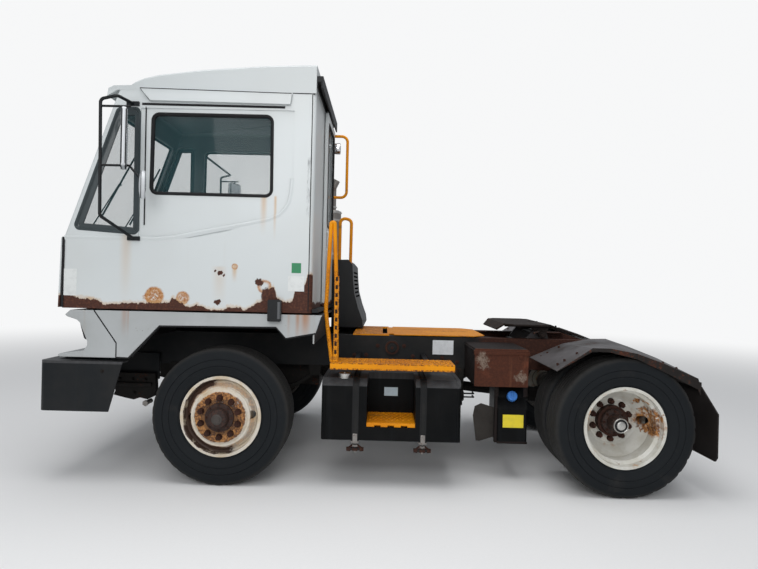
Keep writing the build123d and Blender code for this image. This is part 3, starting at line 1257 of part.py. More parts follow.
def dashboard():
    """Dash console ahead of the driver."""
    front = ahead(4110) - CAB_WALL - 4
    body = side_prism([(ahead(3700), FLOOR_TOP_Z), (front, FLOOR_TOP_Z), (front, 1790), (ahead(3960), 1840),
                       (ahead(3640), 1880), (ahead(3580), 1800), (ahead(3780), 1640)],
                      INSIDE_RIGHT_Y + 10, INSIDE_LEFT_Y - 10)
    column = block((ahead(3540), ahead(3880)), (SEAT_Y - 90, SEAT_Y + 90), (1480, 1900))
    return body - column


def console():
    """Side console with the shift and boom levers."""
    body = block((ahead(2800), ahead(3300)), (INSIDE_RIGHT_Y + 20, INSIDE_RIGHT_Y + 220), (FLOOR_TOP_Z, 1740))
    body = fillet(body.edges().filter_by(Axis.Z), 25)
    y = INSIDE_RIGHT_Y + 120
    for x, knob_z in ((ahead(3180), 1890), (ahead(3080), 1850), (ahead(3000), 1850)):
        body += bar((x, y, 1735), (x, y, knob_z), 8)
        body += bar((x, y, knob_z - 30), (x, y, knob_z + 14), 20)
    return body


# Boom, rams and fifth wheel


def boom():
    """Lifting boom: two tapered arms, pivot tube, cross tubes and the head under the fifth wheel."""
    x0, x1 = BOOM_PIVOT_X, COUPLING_X
    head_z = COUPLING_PIVOT_Z + 29
    arm = [(x0 + 52, BOOM_PIVOT_Z + 30), (x0 + 40, BOOM_PIVOT_Z + 86), (ahead(900), BOOM_PIVOT_Z + 92),
           (ahead(820), BOOM_PIVOT_Z + 50), (x1 + 150, BOOM_PIVOT_Z + 44), (x1 + 60, head_z), (x1 - 60, head_z),
           (x1 - 90, BOOM_PIVOT_Z + 60), (x1 - 60, BOOM_PIVOT_Z - 40), (ahead(900), BOOM_PIVOT_Z - 60),
           (x0 - 60, BOOM_PIVOT_Z - 52), (x0 + 20, BOOM_PIVOT_Z - 52), (x0 + 52, BOOM_PIVOT_Z - 20)]
    left = side_prism(arm, BOOM_HALF_WIDTH - BOOM_ARM_THICKNESS, BOOM_HALF_WIDTH)
    body = left + flip(left)
    body += bar((x0, -BOOM_HALF_WIDTH - 30, BOOM_PIVOT_Z), (x0, BOOM_HALF_WIDTH + 30, BOOM_PIVOT_Z), 50)
    for x in (ahead(1400), ahead(900), x1 + 140):
        body += bar((x, -BOOM_HALF_WIDTH, BOOM_PIVOT_Z + 20), (x, BOOM_HALF_WIDTH, BOOM_PIVOT_Z + 20), 42)
    lug_top = BOOM_PIVOT_Z + 40
    shelf = BOOM_HALF_WIDTH - 10
    body += block((x1 + 110, x1 + 430), (-shelf, shelf), (lug_top - 12, lug_top))
    for sign in (1, -1):
        middle = sign * LIFT_SPREAD / 2
        lug = [(LIFT_EYE_X - 34, LIFT_EYE_Z - 30), (LIFT_EYE_X + 34, LIFT_EYE_Z - 30),
               (LIFT_EYE_X + 120, lug_top - 4), (LIFT_EYE_X - 110, lug_top - 4)]
        for y in (middle - LUG_GAP - LUG_PLATE, middle + LUG_GAP):
            body += side_prism(lug, y, y + LUG_PLATE)
        for inner, out in ((middle - LUG_GAP, -1), (middle + LUG_GAP, 1)):
            outer = inner + out * (LUG_PLATE + PIN_HEAD)
            body += bar((LIFT_EYE_X, inner, LIFT_EYE_Z), (LIFT_EYE_X, outer, LIFT_EYE_Z), 24)
    body -= bar((x0, -BOOM_HALF_WIDTH - 60, BOOM_PIVOT_Z), (x0, BOOM_HALF_WIDTH + 60, BOOM_PIVOT_Z),
                BOOM_PIN_RADIUS + RUNNING_GAP)
    pin_half = BOOM_HALF_WIDTH + 100
    body += bar((x1, -pin_half, COUPLING_PIVOT_Z), (x1, pin_half, COUPLING_PIVOT_Z), COUPLING_PIN_RADIUS)
    return body


def boom_deck():
    """Yellow deck plate carried by the boom, with bevelled rear corners."""
    half = FRAME_HALF_WIDTH - 4
    inner = RAIL_INSIDE_Y - MOVING_GAP
    outline = [(BOOM_DECK_FRONT_X, inner), (DECK_NOTCH_X, inner), (DECK_NOTCH_X, half),
               (BOOM_DECK_REAR_X + 110, half), (BOOM_DECK_REAR_X, half - 110)]
    outline += [(x, -y) for x, y in reversed(outline)]
    plate = plan_prism(outline, DECK_TOP_Z - DECK_PLATE, DECK_TOP_Z)
    for sign in (1, -1):
        y = sign * (BOOM_HALF_WIDTH - BOOM_ARM_THICKNESS / 2)
        plate += block((ahead(930), BOOM_PIVOT_X + 30), (y - 12, y + 12),
                       (BOOM_PIVOT_Z + 92, DECK_TOP_Z - DECK_PLATE))
    return plate


def fifth_wheel():
    """Coupling plate with its bent front lip, long pick-up ramps, throat and jaw."""
    x = COUPLING_X
    top = COUPLING_TOP_Z
    front, rear = x + 390, x - 410
    ramp_x = x - 70
    under = top - COUPLING_PLATE
    side = [(front, top - 54), (front - 60, top), (ramp_x, top), (rear, top - 112), (rear, under - 112),
            (ramp_x, under), (front - 64, under), (front - 10, top - 62)]
    plate = side_prism(side, -COUPLING_HALF_WIDTH, COUPLING_HALF_WIDTH)
    half = COUPLING_HALF_WIDTH
    outline = [(front + 5, 300), (front - 130, half), (x - 20, half), (x - 150, 322), (rear - 5, 270),
               (rear - 5, 150), (x - 60, KINGPIN_HOLE_RADIUS)]
    outline += [(place, -y) for place, y in reversed(outline)]
    plate = plate & plan_prism(outline, top - 200, top + 20)
    jaw = block((x - 60, x + 110), (-95, 95), (top - 60, under + 2))
    plate += jaw
    plate -= bar((x, 0, top - 100), (x, 0, top + 20), KINGPIN_HOLE_RADIUS)
    plate -= block((x - 80, x), (-KINGPIN_HOLE_RADIUS + 6, KINGPIN_HOLE_RADIUS - 6), (top - 100, top + 20))
    ribs = side_prism([(x - 150, under - 20), (x + 300, under - 20), (x + 300, under + 1), (x - 60, under + 1)],
                      -270, -250)
    plate += ribs
    plate += flip(ribs)
    return plate


def coupling_ears():
    """The two saddle ears under the coupling plate, bored for the pins that it rocks on."""
    x = COUPLING_X
    under = COUPLING_TOP_Z - COUPLING_PLATE
    bore = bar((x, -COUPLING_HALF_WIDTH, COUPLING_PIVOT_Z), (x, COUPLING_HALF_WIDTH, COUPLING_PIVOT_Z),
               COUPLING_PIN_RADIUS + RUNNING_GAP)
    ears = []
    for y in (-COUPLING_EAR_Y, COUPLING_EAR_Y):
        inner, outer = y - COUPLING_EAR_PLATE / 2, y + COUPLING_EAR_PLATE / 2
        ear = side_prism([(x - 28, COUPLING_PIVOT_Z), (x + 28, COUPLING_PIVOT_Z), (x + 110, under),
                          (x - 60, under)], inner, outer)
        ear += bar((x, inner, COUPLING_PIVOT_Z), (x, outer, COUPLING_PIVOT_Z), COUPLING_EAR_RADIUS)
        ears.append(ear - bore)
    return grouped(ears)


def ram(base, eye, y, barrel_share, radius):
    """Barrel and rod of one hydraulic ram between two pins that run along Y."""
    start = Vector(base[0], y, base[1])
    run = Vector(eye[0], y, eye[1]) - start
    unit = run.normalized()
    rod_radius = radius * 0.55
    barrel_end = start + unit * (run.length * barrel_share)
    barrel = bar(tuple(start + unit * 44), tuple(barrel_end), radius)
    barrel += bar((base[0], y - 40, base[1]), (base[0], y + 40, base[1]), 32)
    barrel += bar(tuple(start), tuple(start + unit * 60), 26)
    barrel -= bar((base[0], y - 90, base[1]), (base[0], y + 90, base[1]), 18 + RUNNING_GAP)
    barrel -= bar(tuple(start + unit * 70), tuple(barrel_end + unit * 20), rod_radius + RUNNING_GAP)
    rod = bar(tuple(start + unit * 90), tuple(start + run - unit * 20), rod_radius)
    rod += bar((eye[0], y - 40, eye[1]), (eye[0], y + 40, eye[1]), 27)
    return barrel, rod


def lift_rams():
    """The two rams that raise the boom, as barrels and rods."""
    barrels, rods = [], []
    base, eye = (LIFT_BASE_X, LIFT_BASE_Z), (LIFT_EYE_X, LIFT_EYE_Z)
    for sign in (1, -1):
        barrel, rod = ram(base, eye, sign * LIFT_SPREAD / 2, 0.82, 40)
        barrels.append(barrel)
        rods.append(rod)
    return grouped(barrels), grouped(rods)


LIFT_BARRELS, LIFT_RODS = lift_rams()
TILT_BARREL, TILT_ROD = ram((TILT_BASE_X, TILT_BASE_Z), (TILT_EYE_X, TILT_EYE_Z), TILT_RAM_Y, 0.86, 34)

NODES = {
    "frame_rails": frame_rails(),
    "crossmembers": grouped([crossmembers(), cab_mounts()]),
    "front_bumper": front_bumper(),
    "front_fascia": front_fascia(),
    "grilles": grouped([front_grille(), hood_grille()]),
    "headlamps": headlamps(),
    "wheel_skirts": wheel_skirts(),
    "power_unit": grouped([engine_block(), radiator()]),
    "engine_hood": engine_hood(),
    "exhaust_stack": exhaust_stack(),
    "deck_and_steps": grouped([deck_plates(), side_steps()]),
    "fuel_tank": fuel_tank(),
    "tank_straps": tank_straps(),
    "battery_box": battery_box(),
    "fluid_tank": fluid_tank(),
    "side_tanks": side_tanks(),
    "rear_fenders": rear_fenders(),
    "mudflaps": mudflaps(),
    "tail_lamps": tail_lamps(),
    "handrails": handrails(),
    "front_axle": front_axle(),
    "leaf_springs": leaf_springs(),
    "rear_axle": rear_axle(),
    "drive_shaft": drive_shaft(),
    "knuckle_left": knuckle(),
    "knuckle_right": flip(knuckle()),
    "tie_rod": tie_rod(),
    "front_tyre_left": tyre(FRONT_AXLE_X, FRONT_WHEEL_Y),
    "front_tyre_right": tyre(FRONT_AXLE_X, -FRONT_WHEEL_Y),
    "front_rim_left": front_rim(),
    "front_rim_right": flip(front_rim()),
    "rear_tyres_left": grouped([tyre(REAR_AXLE_X, REAR_OUTER_Y), tyre(REAR_AXLE_X, REAR_INNER_Y)]),
    "rear_tyres_right": grouped([tyre(REAR_AXLE_X, -REAR_OUTER_Y), tyre(REAR_AXLE_X, -REAR_INNER_Y)]),
    "rear_rims_left": rear_rims(),
    "rear_rims_right": flip(rear_rims()),
    "boom": boom(),
    "boom_deck": boom_deck(),
    "fifth_wheel": fifth_wheel(),
    "coupling_ears": coupling_ears(),
    "lift_barrels": LIFT_BARRELS,
    "lift_rods": LIFT_RODS,
    "tilt_barrel": TILT_BARREL,
    "tilt_rod": TILT_ROD,
    "cab_side_left": cab_side(True),
    "cab_side_right": cab_side(False),
    "cab_front": grouped([cab_front(), corner_strip()]),
    "cab_rear": cab_rear(),
    "cab_floor": cab_floor(),
    "cab_roof": cab_roof(),
    "cab_glass": cab_glass(),
    "door_track": door_track(),
    "cab_lamps": cab_lamps(),
    "cab_brackets": mirrors(),
    "grab_handle": cab_grab_handle(),
    "seat_base": seat_base(),
    "seat_pads": grouped([seat_cushion(), seat_back()]),
    "steering_wheel": steering_wheel(),
    "dashboard": grouped([dashboard(), console()]),
    "rear_door": rear_door(),
    "door_glass": door_glass(),
}

os.makedirs("parts", exist_ok=True)
for name, shape in NODES.items():
    export_step(shape, f"parts/{name}.step")
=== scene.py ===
import math

import bpy
import bmesh
from mathutils import Matrix, Vector


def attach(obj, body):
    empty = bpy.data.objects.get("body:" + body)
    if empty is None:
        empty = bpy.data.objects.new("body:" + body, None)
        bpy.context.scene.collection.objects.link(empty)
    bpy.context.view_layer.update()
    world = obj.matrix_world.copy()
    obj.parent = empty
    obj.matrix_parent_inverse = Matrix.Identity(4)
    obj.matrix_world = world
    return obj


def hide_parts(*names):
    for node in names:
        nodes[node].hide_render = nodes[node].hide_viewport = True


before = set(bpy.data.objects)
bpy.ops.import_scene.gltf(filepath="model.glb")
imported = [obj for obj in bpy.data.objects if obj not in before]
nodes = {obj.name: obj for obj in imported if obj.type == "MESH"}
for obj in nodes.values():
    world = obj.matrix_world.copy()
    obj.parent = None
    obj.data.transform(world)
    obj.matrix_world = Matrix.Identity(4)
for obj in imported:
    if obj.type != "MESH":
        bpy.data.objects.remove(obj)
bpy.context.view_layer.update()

# Places of the running gear, in metres
REAR_AXLE_X = -1.8025
FRONT_AXLE_X = 1.1435
AXLE_Z = 0.507
FRONT_WHEEL_Y = 1.0325
REAR_PLANE_Y = 0.9165
TWIN_HALF = 0.165
CAB_SIDE_Y = 1.2
CAB_BOTTOM_Z = 1.285
EAVES_Z = 2.88
RIGHT_SKIN_Y = 0.002
SKIRT_Y = 1.199


def ahead(mm):
    """X of a place given in millimetres ahead of the rear axle."""
    return REAR_AXLE_X + mm / 1000


# The windscreen leans back from its foot
SCREEN_FOOT_X = ahead(4110)
SCREEN_FOOT_Z = 1.807
SCREEN_LEAN = 0.351


# Materials

finishes = {}


class Signal:
    """One output of a material's node; arithmetic on it adds Math nodes."""

    def __init__(self, finish, socket):
        self.finish = finish
        self.socket = socket

    def math(self, operation, *terms):
        return self.finish.node("ShaderNodeMath", {"operation": operation}, dict(enumerate(terms)))

    def __add__(self, other):
        return self.math("ADD", self, other)

    def __radd__(self, other):
        return self.math("ADD", other, self)

    def __sub__(self, other):
        return self.math("SUBTRACT", self, other)

    def __rsub__(self, other):
        return self.math("SUBTRACT", other, self)

    def __mul__(self, other):
        return self.math("MULTIPLY", self, other)

    def __rmul__(self, other):
        return self.math("MULTIPLY", other, self)

    def __truediv__(self, other):
        return self.math("DIVIDE", self, other)

    def __rtruediv__(self, other):
        return self.math("DIVIDE", other, self)

    def __abs__(self):
        return self.math("ABSOLUTE", self)

    def root(self):
        return self.math("SQRT", self)

    def least(self, other):
        return self.math("MINIMUM", self, other)

    def most(self, other):
        return self.math("MAXIMUM", self, other)

    def rise(self, low, high):
        """0 below low, 1 above high, smooth between; low above high turns it round."""
        return self.finish.node("ShaderNodeMapRange", {"interpolation_type": "SMOOTHSTEP"},
                                {"Value": self, "From Min": low, "From Max": high})

    def within(self, low, high, soft=0.002):
        """1 between two values."""
        return self.rise(low - soft, low) * self.rise(high + soft, high)


class Finish:
    """A material with one Principled surface, built from signals and kept in the table of finishes."""

    def __init__(self, name, rough=0.5, **constants):
        self.material = bpy.data.materials.new(name)
        self.material.use_nodes = True
        finishes[name] = self.material
        self.tree = self.material.node_tree
        self.surface = self.tree.nodes["Principled BSDF"]
        self.surface.inputs["Roughness"].default_value = rough
        for key, value in constants.items():
            self.surface.inputs[key.replace("_", " ")].default_value = value
        self.at = self.node("ShaderNodeTexCoord", output="Object")
        parts = self.node("ShaderNodeSeparateXYZ", inputs={0: self.at})
        outputs = parts.socket.node.outputs
        self.x, self.y, self.z = (Signal(self, outputs[axis]) for axis in "XYZ")

    def node(self, kind, settings=None, inputs=None, output=0):
        made = self.tree.nodes.new(kind)
        for key, value in (settings or {}).items():
            if key == "stops":
                ramp = made.color_ramp
                ramp.interpolation = "LINEAR"
                while len(ramp.elements) < len(value):
                    ramp.elements.new(0.5)
                for element, (place, shade) in zip(ramp.elements, value):
                    element.position = place
                    element.color = (shade, shade, shade, 1)
            else:
                setattr(made, key, value)
        for key, value in (inputs or {}).items():
            self.feed(made.inputs[key], value)
        return Signal(self, made.outputs[output])

    def feed(self, socket, value):
        if isinstance(value, Signal):
            self.tree.links.new(value.socket, socket)
        elif socket.type == "RGBA" and len(value) == 3:
            socket.default_value = (*value, 1)
        else:
            socket.default_value = value

    def noise(self, scale, detail=3.0, rough=0.55, stretch=(1, 1, 1)):
        """Cloudy pattern, 0 to 1, centred on 0.5; a stretch below 1 draws it out along that axis."""
        place = self.node("ShaderNodeMapping", {}, {"Vector": self.at, "Scale": stretch})
        return self.node("ShaderNodeTexNoise", {}, {"Vector": place, "Scale": scale, "Detail": detail,
                                                    "Roughness": rough})

    def cells(self, scale):
        """Distance to the middle of the nearest cell."""
        return self.node("ShaderNodeTexVoronoi", {"feature": "F1"}, {"Vector": self.at, "Scale": scale},
                         "Distance")

    def blend(self, factor, first, second):
        """Colour that goes from first to second."""
        return self.node("ShaderNodeMix", {"data_type": "RGBA"}, {0: factor, 6: first, 7: second}, 2)

    def spot(self, places, soft=0.25, wobble=0.0):
        """Sum of round patches given as (mm ahead of the rear axle, z, radius), with ragged edges."""
        total = 0.0
        ragged = self.noise(34, 3, 0.6) - 0.5
        for mm, z, radius in places:
            away = self.ring_distance(ahead(mm), z) + ragged * wobble
            total = away.rise(radius * (1 + soft), radius * (1 - soft)) + total
        return total.least(1.0)

    def ring_distance(self, x, z):
        dx, dz = self.x - x, self.z - z
        return (dx * dx + dz * dz).root()

    def paint(self, factor, first, second):
        """Colour of the surface, which goes from first to second."""
        self.shade = self.blend(factor, first, second)
        self.feed(self.surface.inputs["Base Color"], self.shade)

    def layer(self, cover, colour):
        """Lays another colour over what is painted, where cover is 1."""
        self.paint(cover, self.shade, colour)

    def rough(self, value):
        self.feed(self.surface.inputs["Roughness"], value)

    def metal(self, value):
        self.feed(self.surface.inputs["Metallic"], value)

    def bump(self, height, distance):
        made = self.node("ShaderNodeBump", {}, {"Height": height, "Distance": distance, "Strength": 1.0})
        self.feed(self.surface.inputs["Normal"], made)


RUST_DARK = (0.045, 0.014, 0.008)
RUST_BROWN = (0.10, 0.035, 0.018)
RUST_PALE = (0.55, 0.33, 0.14)

# Height of the rust band above the cab's bottom edge, as (mm ahead of the rear axle, mm), rear to front
RUST_EDGE = [
    (2285, 278), (2318, 282), (2334, 210), (2372, 180), (2408, 178), (2424, 82), (2480, 74), (2540, 104),
    (2562, 188), (2590, 172), (2622, 92), (2680, 68), (2740, 26), (2776, 10), (2812, 32), (2900, 27),
    (2928, 8), (3040, 8), (3078, 30), (3126, 44), (3166, 20), (3202, 36), (3250, 62), (3300, 92),
    (3324, 54), (3440, 50), (3700, 36), (3806, 28), (3850, 62), (3985, 72), (4060, 95), (4118, 88),
]
RUST_START, RUST_SPAN, RUST_TALL = 2285, 1833, 300


def cab_white():
    finish = Finish("cab_white", rough=0.34)
    broad = finish.noise(1.3, 3, 0.5)
    finish.paint(broad.rise(0.3, 0.75), (0.62, 0.655, 0.66), (0.575, 0.60, 0.595))
    streak = finish.noise(9, 4, 0.6, stretch=(1, 1, 0.06))
    low = finish.z.rise(2.9, 1.2)
    finish.layer(streak.rise(0.6, 0.85) * low * 0.28, (0.50, 0.47, 0.40))
    left = finish.y.rise(1.16, 1.18)

    def drip(mm, top, bottom, width, amount):
        along = abs(finish.x - ahead(mm)).rise(width / 1000, 0.0)
        down = finish.z.within(bottom, top, 0.02) * finish.z.rise(bottom - 0.02, top)
        return along * down * amount

    drips = (drip(2652, 2.12, 1.84, 34, 0.6) + drip(2568, 2.12, 1.80, 16, 0.7)
             + drip(3648, 1.82, 1.26, 60, 0.3) + drip(2963, 1.60, 1.27, 70, 0.25)
             + drip(3900, 1.36, 1.27, 40, 0.5) + drip(2852, 1.62, 1.50, 26, 0.8))
    finish.layer(drips * left, RUST_PALE)
    stops = [((mm - RUST_START) / RUST_SPAN, height / RUST_TALL) for mm, height in RUST_EDGE]
    along = (finish.x - ahead(RUST_START)) / (RUST_SPAN / 1000)
    edge = finish.node("ShaderNodeValToRGB", {"stops": stops}, {0: along})
    ragged = finish.noise(52, 4, 0.65) - 0.5
    over = finish.z - CAB_BOTTOM_Z + ragged * 0.05
    band = (over - edge * (RUST_TALL / 1000)).rise(0.004, -0.001) * left
    halo = (over - edge * (RUST_TALL / 1000)).rise(0.03, 0.0) * left
    other = (over - finish.noise(3.1, 2, 0.5) * 0.13).rise(0.004, -0.002)
    other = other * (1 - left) * finish.z.rise(1.6, 1.5)
    patches = finish.spot([(2672, 1.504, 0.026), (2606, 1.412, 0.05), (2956, 1.567, 0.020),
                           (2970, 1.345, 0.022), (2925, 1.548, 0.010), (2990, 1.575, 0.008)],
                          0.12, 0.05) * left
    rings = 0.0
    for mm, z, radius in ((3433, 1.385, 0.062), (3226, 1.376, 0.044), (2631, 1.471, 0.046),
                          (2852, 1.611, 0.020)):
        away = finish.ring_distance(ahead(mm), z) + ragged * 0.02
        rings = away.rise(radius * 1.25, radius * 0.95) * away.rise(radius * 0.35, radius * 0.95) + rings
    blister = finish.spot([(3433, 1.385, 0.05), (3475, 1.38, 0.032), (3226, 1.376, 0.03)], 0.4, 0.05)
    mottle = finish.noise(60, 4, 0.7)
    blistered = (rings.least(1.0) * 0.9 + blister * mottle.rise(0.36, 0.56)).least(1.0) * left
    finish.layer(blistered, finish.blend(mottle.rise(0.4, 0.65), (0.52, 0.27, 0.10), (0.30, 0.10, 0.03)))
    finish.layer(halo * 0.55, RUST_PALE)
    scale = (band + patches + other).least(1.0)
    scale_rust = finish.blend(mottle.rise(0.45, 0.75), (0.050, 0.013, 0.006), (0.135, 0.042, 0.017))
    finish.layer(scale, scale_rust)
    screen_x = SCREEN_FOOT_X - (finish.z - SCREEN_FOOT_Z).most(0.0) * SCREEN_LEAN
    inside = (finish.y.within(0.0465, 1.1555, 0.0008) * finish.x.rise(ahead(2326), ahead(2328))
              * (finish.x - screen_x).rise(-0.030, -0.034) * finish.z.rise(1.33, 1.335)
              * finish.z.rise(3.04, 3.03))
    lining = finish.blend(broad.rise(0.3, 0.7), (0.150, 0.158, 0.160), (0.110, 0.118, 0.120))
    finish.layer(inside, lining)
    # Painted shade: the roof and the top of the eaves, above 2.84 m, are painted a darker grey, where the
    # lamp above lights them most.
    finish.layer(finish.z.rise(2.84, 2.90) * 0.55 * (1 - scale), (0.47, 0.50, 0.505))
    scuff = (finish.x.within(ahead(2312), ahead(2336), 0.008) * finish.z.within(2.02, 2.38, 0.05)
             * finish.y.rise(1.19, 1.197) * finish.noise(30, 4, 0.7, stretch=(1, 1, 0.15)).rise(0.45, 0.62))
    finish.layer(scuff * 0.7, (0.16, 0.17, 0.18))
    finish.rough(scale * 0.5 + streak * 0.12 + 0.26)
    finish.bump(scale * -1.0 + scale * mottle * 0.7 + finish.noise(6, 2, 0.5) * 0.5, 0.0016)


def panel_grey(name, painted_shade_inside=False):
    finish = Finish(name, rough=0.42)
    broad = finish.noise(2.2, 4, 0.55)
    finish.paint(broad.rise(0.3, 0.75), (0.43, 0.45, 0.455), (0.36, 0.375, 0.375))
    streak = finish.noise(16, 4, 0.6, stretch=(1, 1, 0.05))
    finish.layer(streak.rise(0.58, 0.85) * 0.5, (0.33, 0.26, 0.19))
    left = finish.y.rise(1.1, 1.15)
    rust = 0.0
    for mm, width, amount in ((2330, 50, 1.0), (2385, 24, 0.8), (3648, 34, 0.45), (3620, 10, 0.5),
                              (2450, 16, 0.4)):
        rust = abs(finish.x - ahead(mm)).rise(width / 1000, 0.0) * finish.z.rise(1.05, 1.28) * amount + rust
    rust = rust * (streak * 0.8 + 0.45) * left
    finish.layer(rust.least(1.0), (0.36, 0.15, 0.05))
    chips = finish.cells(42).rise(0.12, 0.08) * finish.noise(5, 2, 0.5).rise(0.55, 0.68)
    finish.layer(chips, RUST_BROWN)
    if painted_shade_inside:
        # Painted shade: the inner faces of the skirts, inboard of 1.19 m, are painted near black.
        finish.layer(abs(finish.y).rise(1.191, 1.187), (0.012, 0.011, 0.011))
    finish.rough(broad * 0.2 + 0.34)
    finish.bump(finish.noise(220, 2, 0.5) * 0.3 - chips, 0.0008)


def worn_black(name, rust, dust, base=(0.006, 0.007, 0.008), rough=0.5, rusty_x=None, band=None, shine=0.22):
    """Old black paint; it turns rusty behind rusty_x and has a painted highlight, a paler grey, in a band of
    heights.
    """
    finish = Finish(name, rough=rough, Specular_IOR_Level=shine)
    broad = finish.noise(3.3, 4, 0.6)
    grain = finish.noise(46, 5, 0.7)
    finish.paint(broad.rise(0.35, 0.8) * dust, base, (0.030, 0.027, 0.024))
    if band:
        streaks = finish.noise(24, 4, 0.6, stretch=(1, 1, 0.05))
        finish.layer(streaks.rise(0.5, 0.8) * 0.12, (0.030, 0.034, 0.040))
        # Painted highlight: the band of heights, the bumper's top edge and the tank's sloping top, is painted
        # a paler grey.
        finish.layer(finish.z.within(*band, 0.004) * (streaks * 0.8 + 0.25), (0.075, 0.075, 0.078))
    scratches = finish.noise(30, 5, 0.7, stretch=(0.15, 1, 1))
    finish.layer(scratches.rise(0.66, 0.82) * 0.35 * dust, (0.075, 0.068, 0.060))
    patch = (broad * 0.55 + grain * 0.45).rise(0.66 - 0.16 * rust, 0.72 - 0.14 * rust) * min(1.0, rust * 1.6)
    if rusty_x is not None:
        turning = finish.x.rise(rusty_x, rusty_x - 0.35) * 0.5 + grain * 0.5
        patch = patch.most(turning.rise(0.48, 0.72) * 0.8)
    finish.layer(patch, finish.blend(grain.rise(0.45, 0.75), RUST_DARK, RUST_BROWN))
    finish.rough(patch * 0.25 + broad * 0.25 + (rough - 0.12))
    finish.bump(grain * 0.4 + patch * 0.6, 0.0009)


def deck_yellow():
    finish = Finish("deck_yellow", rough=0.55, Specular_IOR_Level=0.2)
    broad = finish.noise(3.0, 4, 0.6)
    grain = finish.noise(40, 5, 0.7)
    finish.paint(broad.rise(0.35, 0.7), (0.80, 0.30, 0.002), (0.68, 0.23, 0.003))
    wear = finish.noise(9, 5, 0.65, stretch=(0.4, 1, 1)).rise(0.57, 0.74)
    finish.layer(wear * 0.75, (0.17, 0.085, 0.035))
    chips = grain.rise(0.63, 0.70) * broad.rise(0.4, 0.6)
    fine = finish.noise(110, 4, 0.7)
    deck_edge = finish.z.within(1.0755, 1.09)
    tread = (finish.z.within(0.917, 0.93) + deck_edge * finish.x.rise(ahead(1700), ahead(1780))
             + finish.z.within(0.482, 0.497) * 0.15).least(1.0)
    foot = finish.z.within(0.872, 0.885) * finish.y.rise(1.14, 1.149)
    posts = finish.z.within(0.94, 1.60) * finish.y.rise(1.05, 1.08) * 0.55
    speckle = (tread * 0.9 + foot + posts + deck_edge * 0.35).least(1.0) * fine.rise(0.44, 0.58)
    chips = chips.most(speckle)
    bare = finish.blend(grain.rise(0.4, 0.7), (0.09, 0.018, 0.010), (0.20, 0.06, 0.02))
    finish.layer(chips, bare)
    arms = finish.z.within(0.80, 1.0) * finish.y.rise(0.879, 0.877) * finish.y.rise(0.42, 0.43)
    finish.layer(arms, (0.008, 0.008, 0.009))
    finish.rough(wear * 0.2 + 0.48)
    finish.bump(grain * 0.4 - chips, 0.0009)


def rusted(name, base, rubbed, spots=(), shade_and_hoses=None):
    """Steel that has lost its paint: scale, pits and pale rubbed places; black where the mask given last says
    so, as painted shade that also stands for dark hoses left out.
    """
    finish = Finish(name, rough=0.8, Specular_IOR_Level=0.25)
    broad = finish.noise(5, 5, 0.65)
    grain = finish.noise(70, 5, 0.75)
    finish.paint(grain.rise(0.3, 0.7), tuple(c * 0.55 for c in base), base)
    finish.layer(broad.rise(0.55, 0.72) * 0.75, tuple(c * 1.75 for c in base))
    run = finish.noise(18, 4, 0.6, stretch=(1, 1, 0.12))
    finish.layer(run.rise(0.58, 0.8) * 0.5, (0.16, 0.06, 0.028))
    pale = broad.rise(0.66, 0.8) * rubbed
    if spots:
        pale = (finish.spot(spots, 0.5, 0.12) * grain.rise(0.32, 0.6) * 0.85 + pale).least(1.0)
    finish.layer(pale, (0.24, 0.19, 0.15))
    if shade_and_hoses:
        # Painted shade, near black, that also stands for hoses that are not built.
        finish.layer(shade_and_hoses(finish) * 0.93, (0.005, 0.004, 0.004))
    finish.rough(grain * 0.3 + 0.58)
    finish.bump(grain + broad * 2.0, 0.0012)


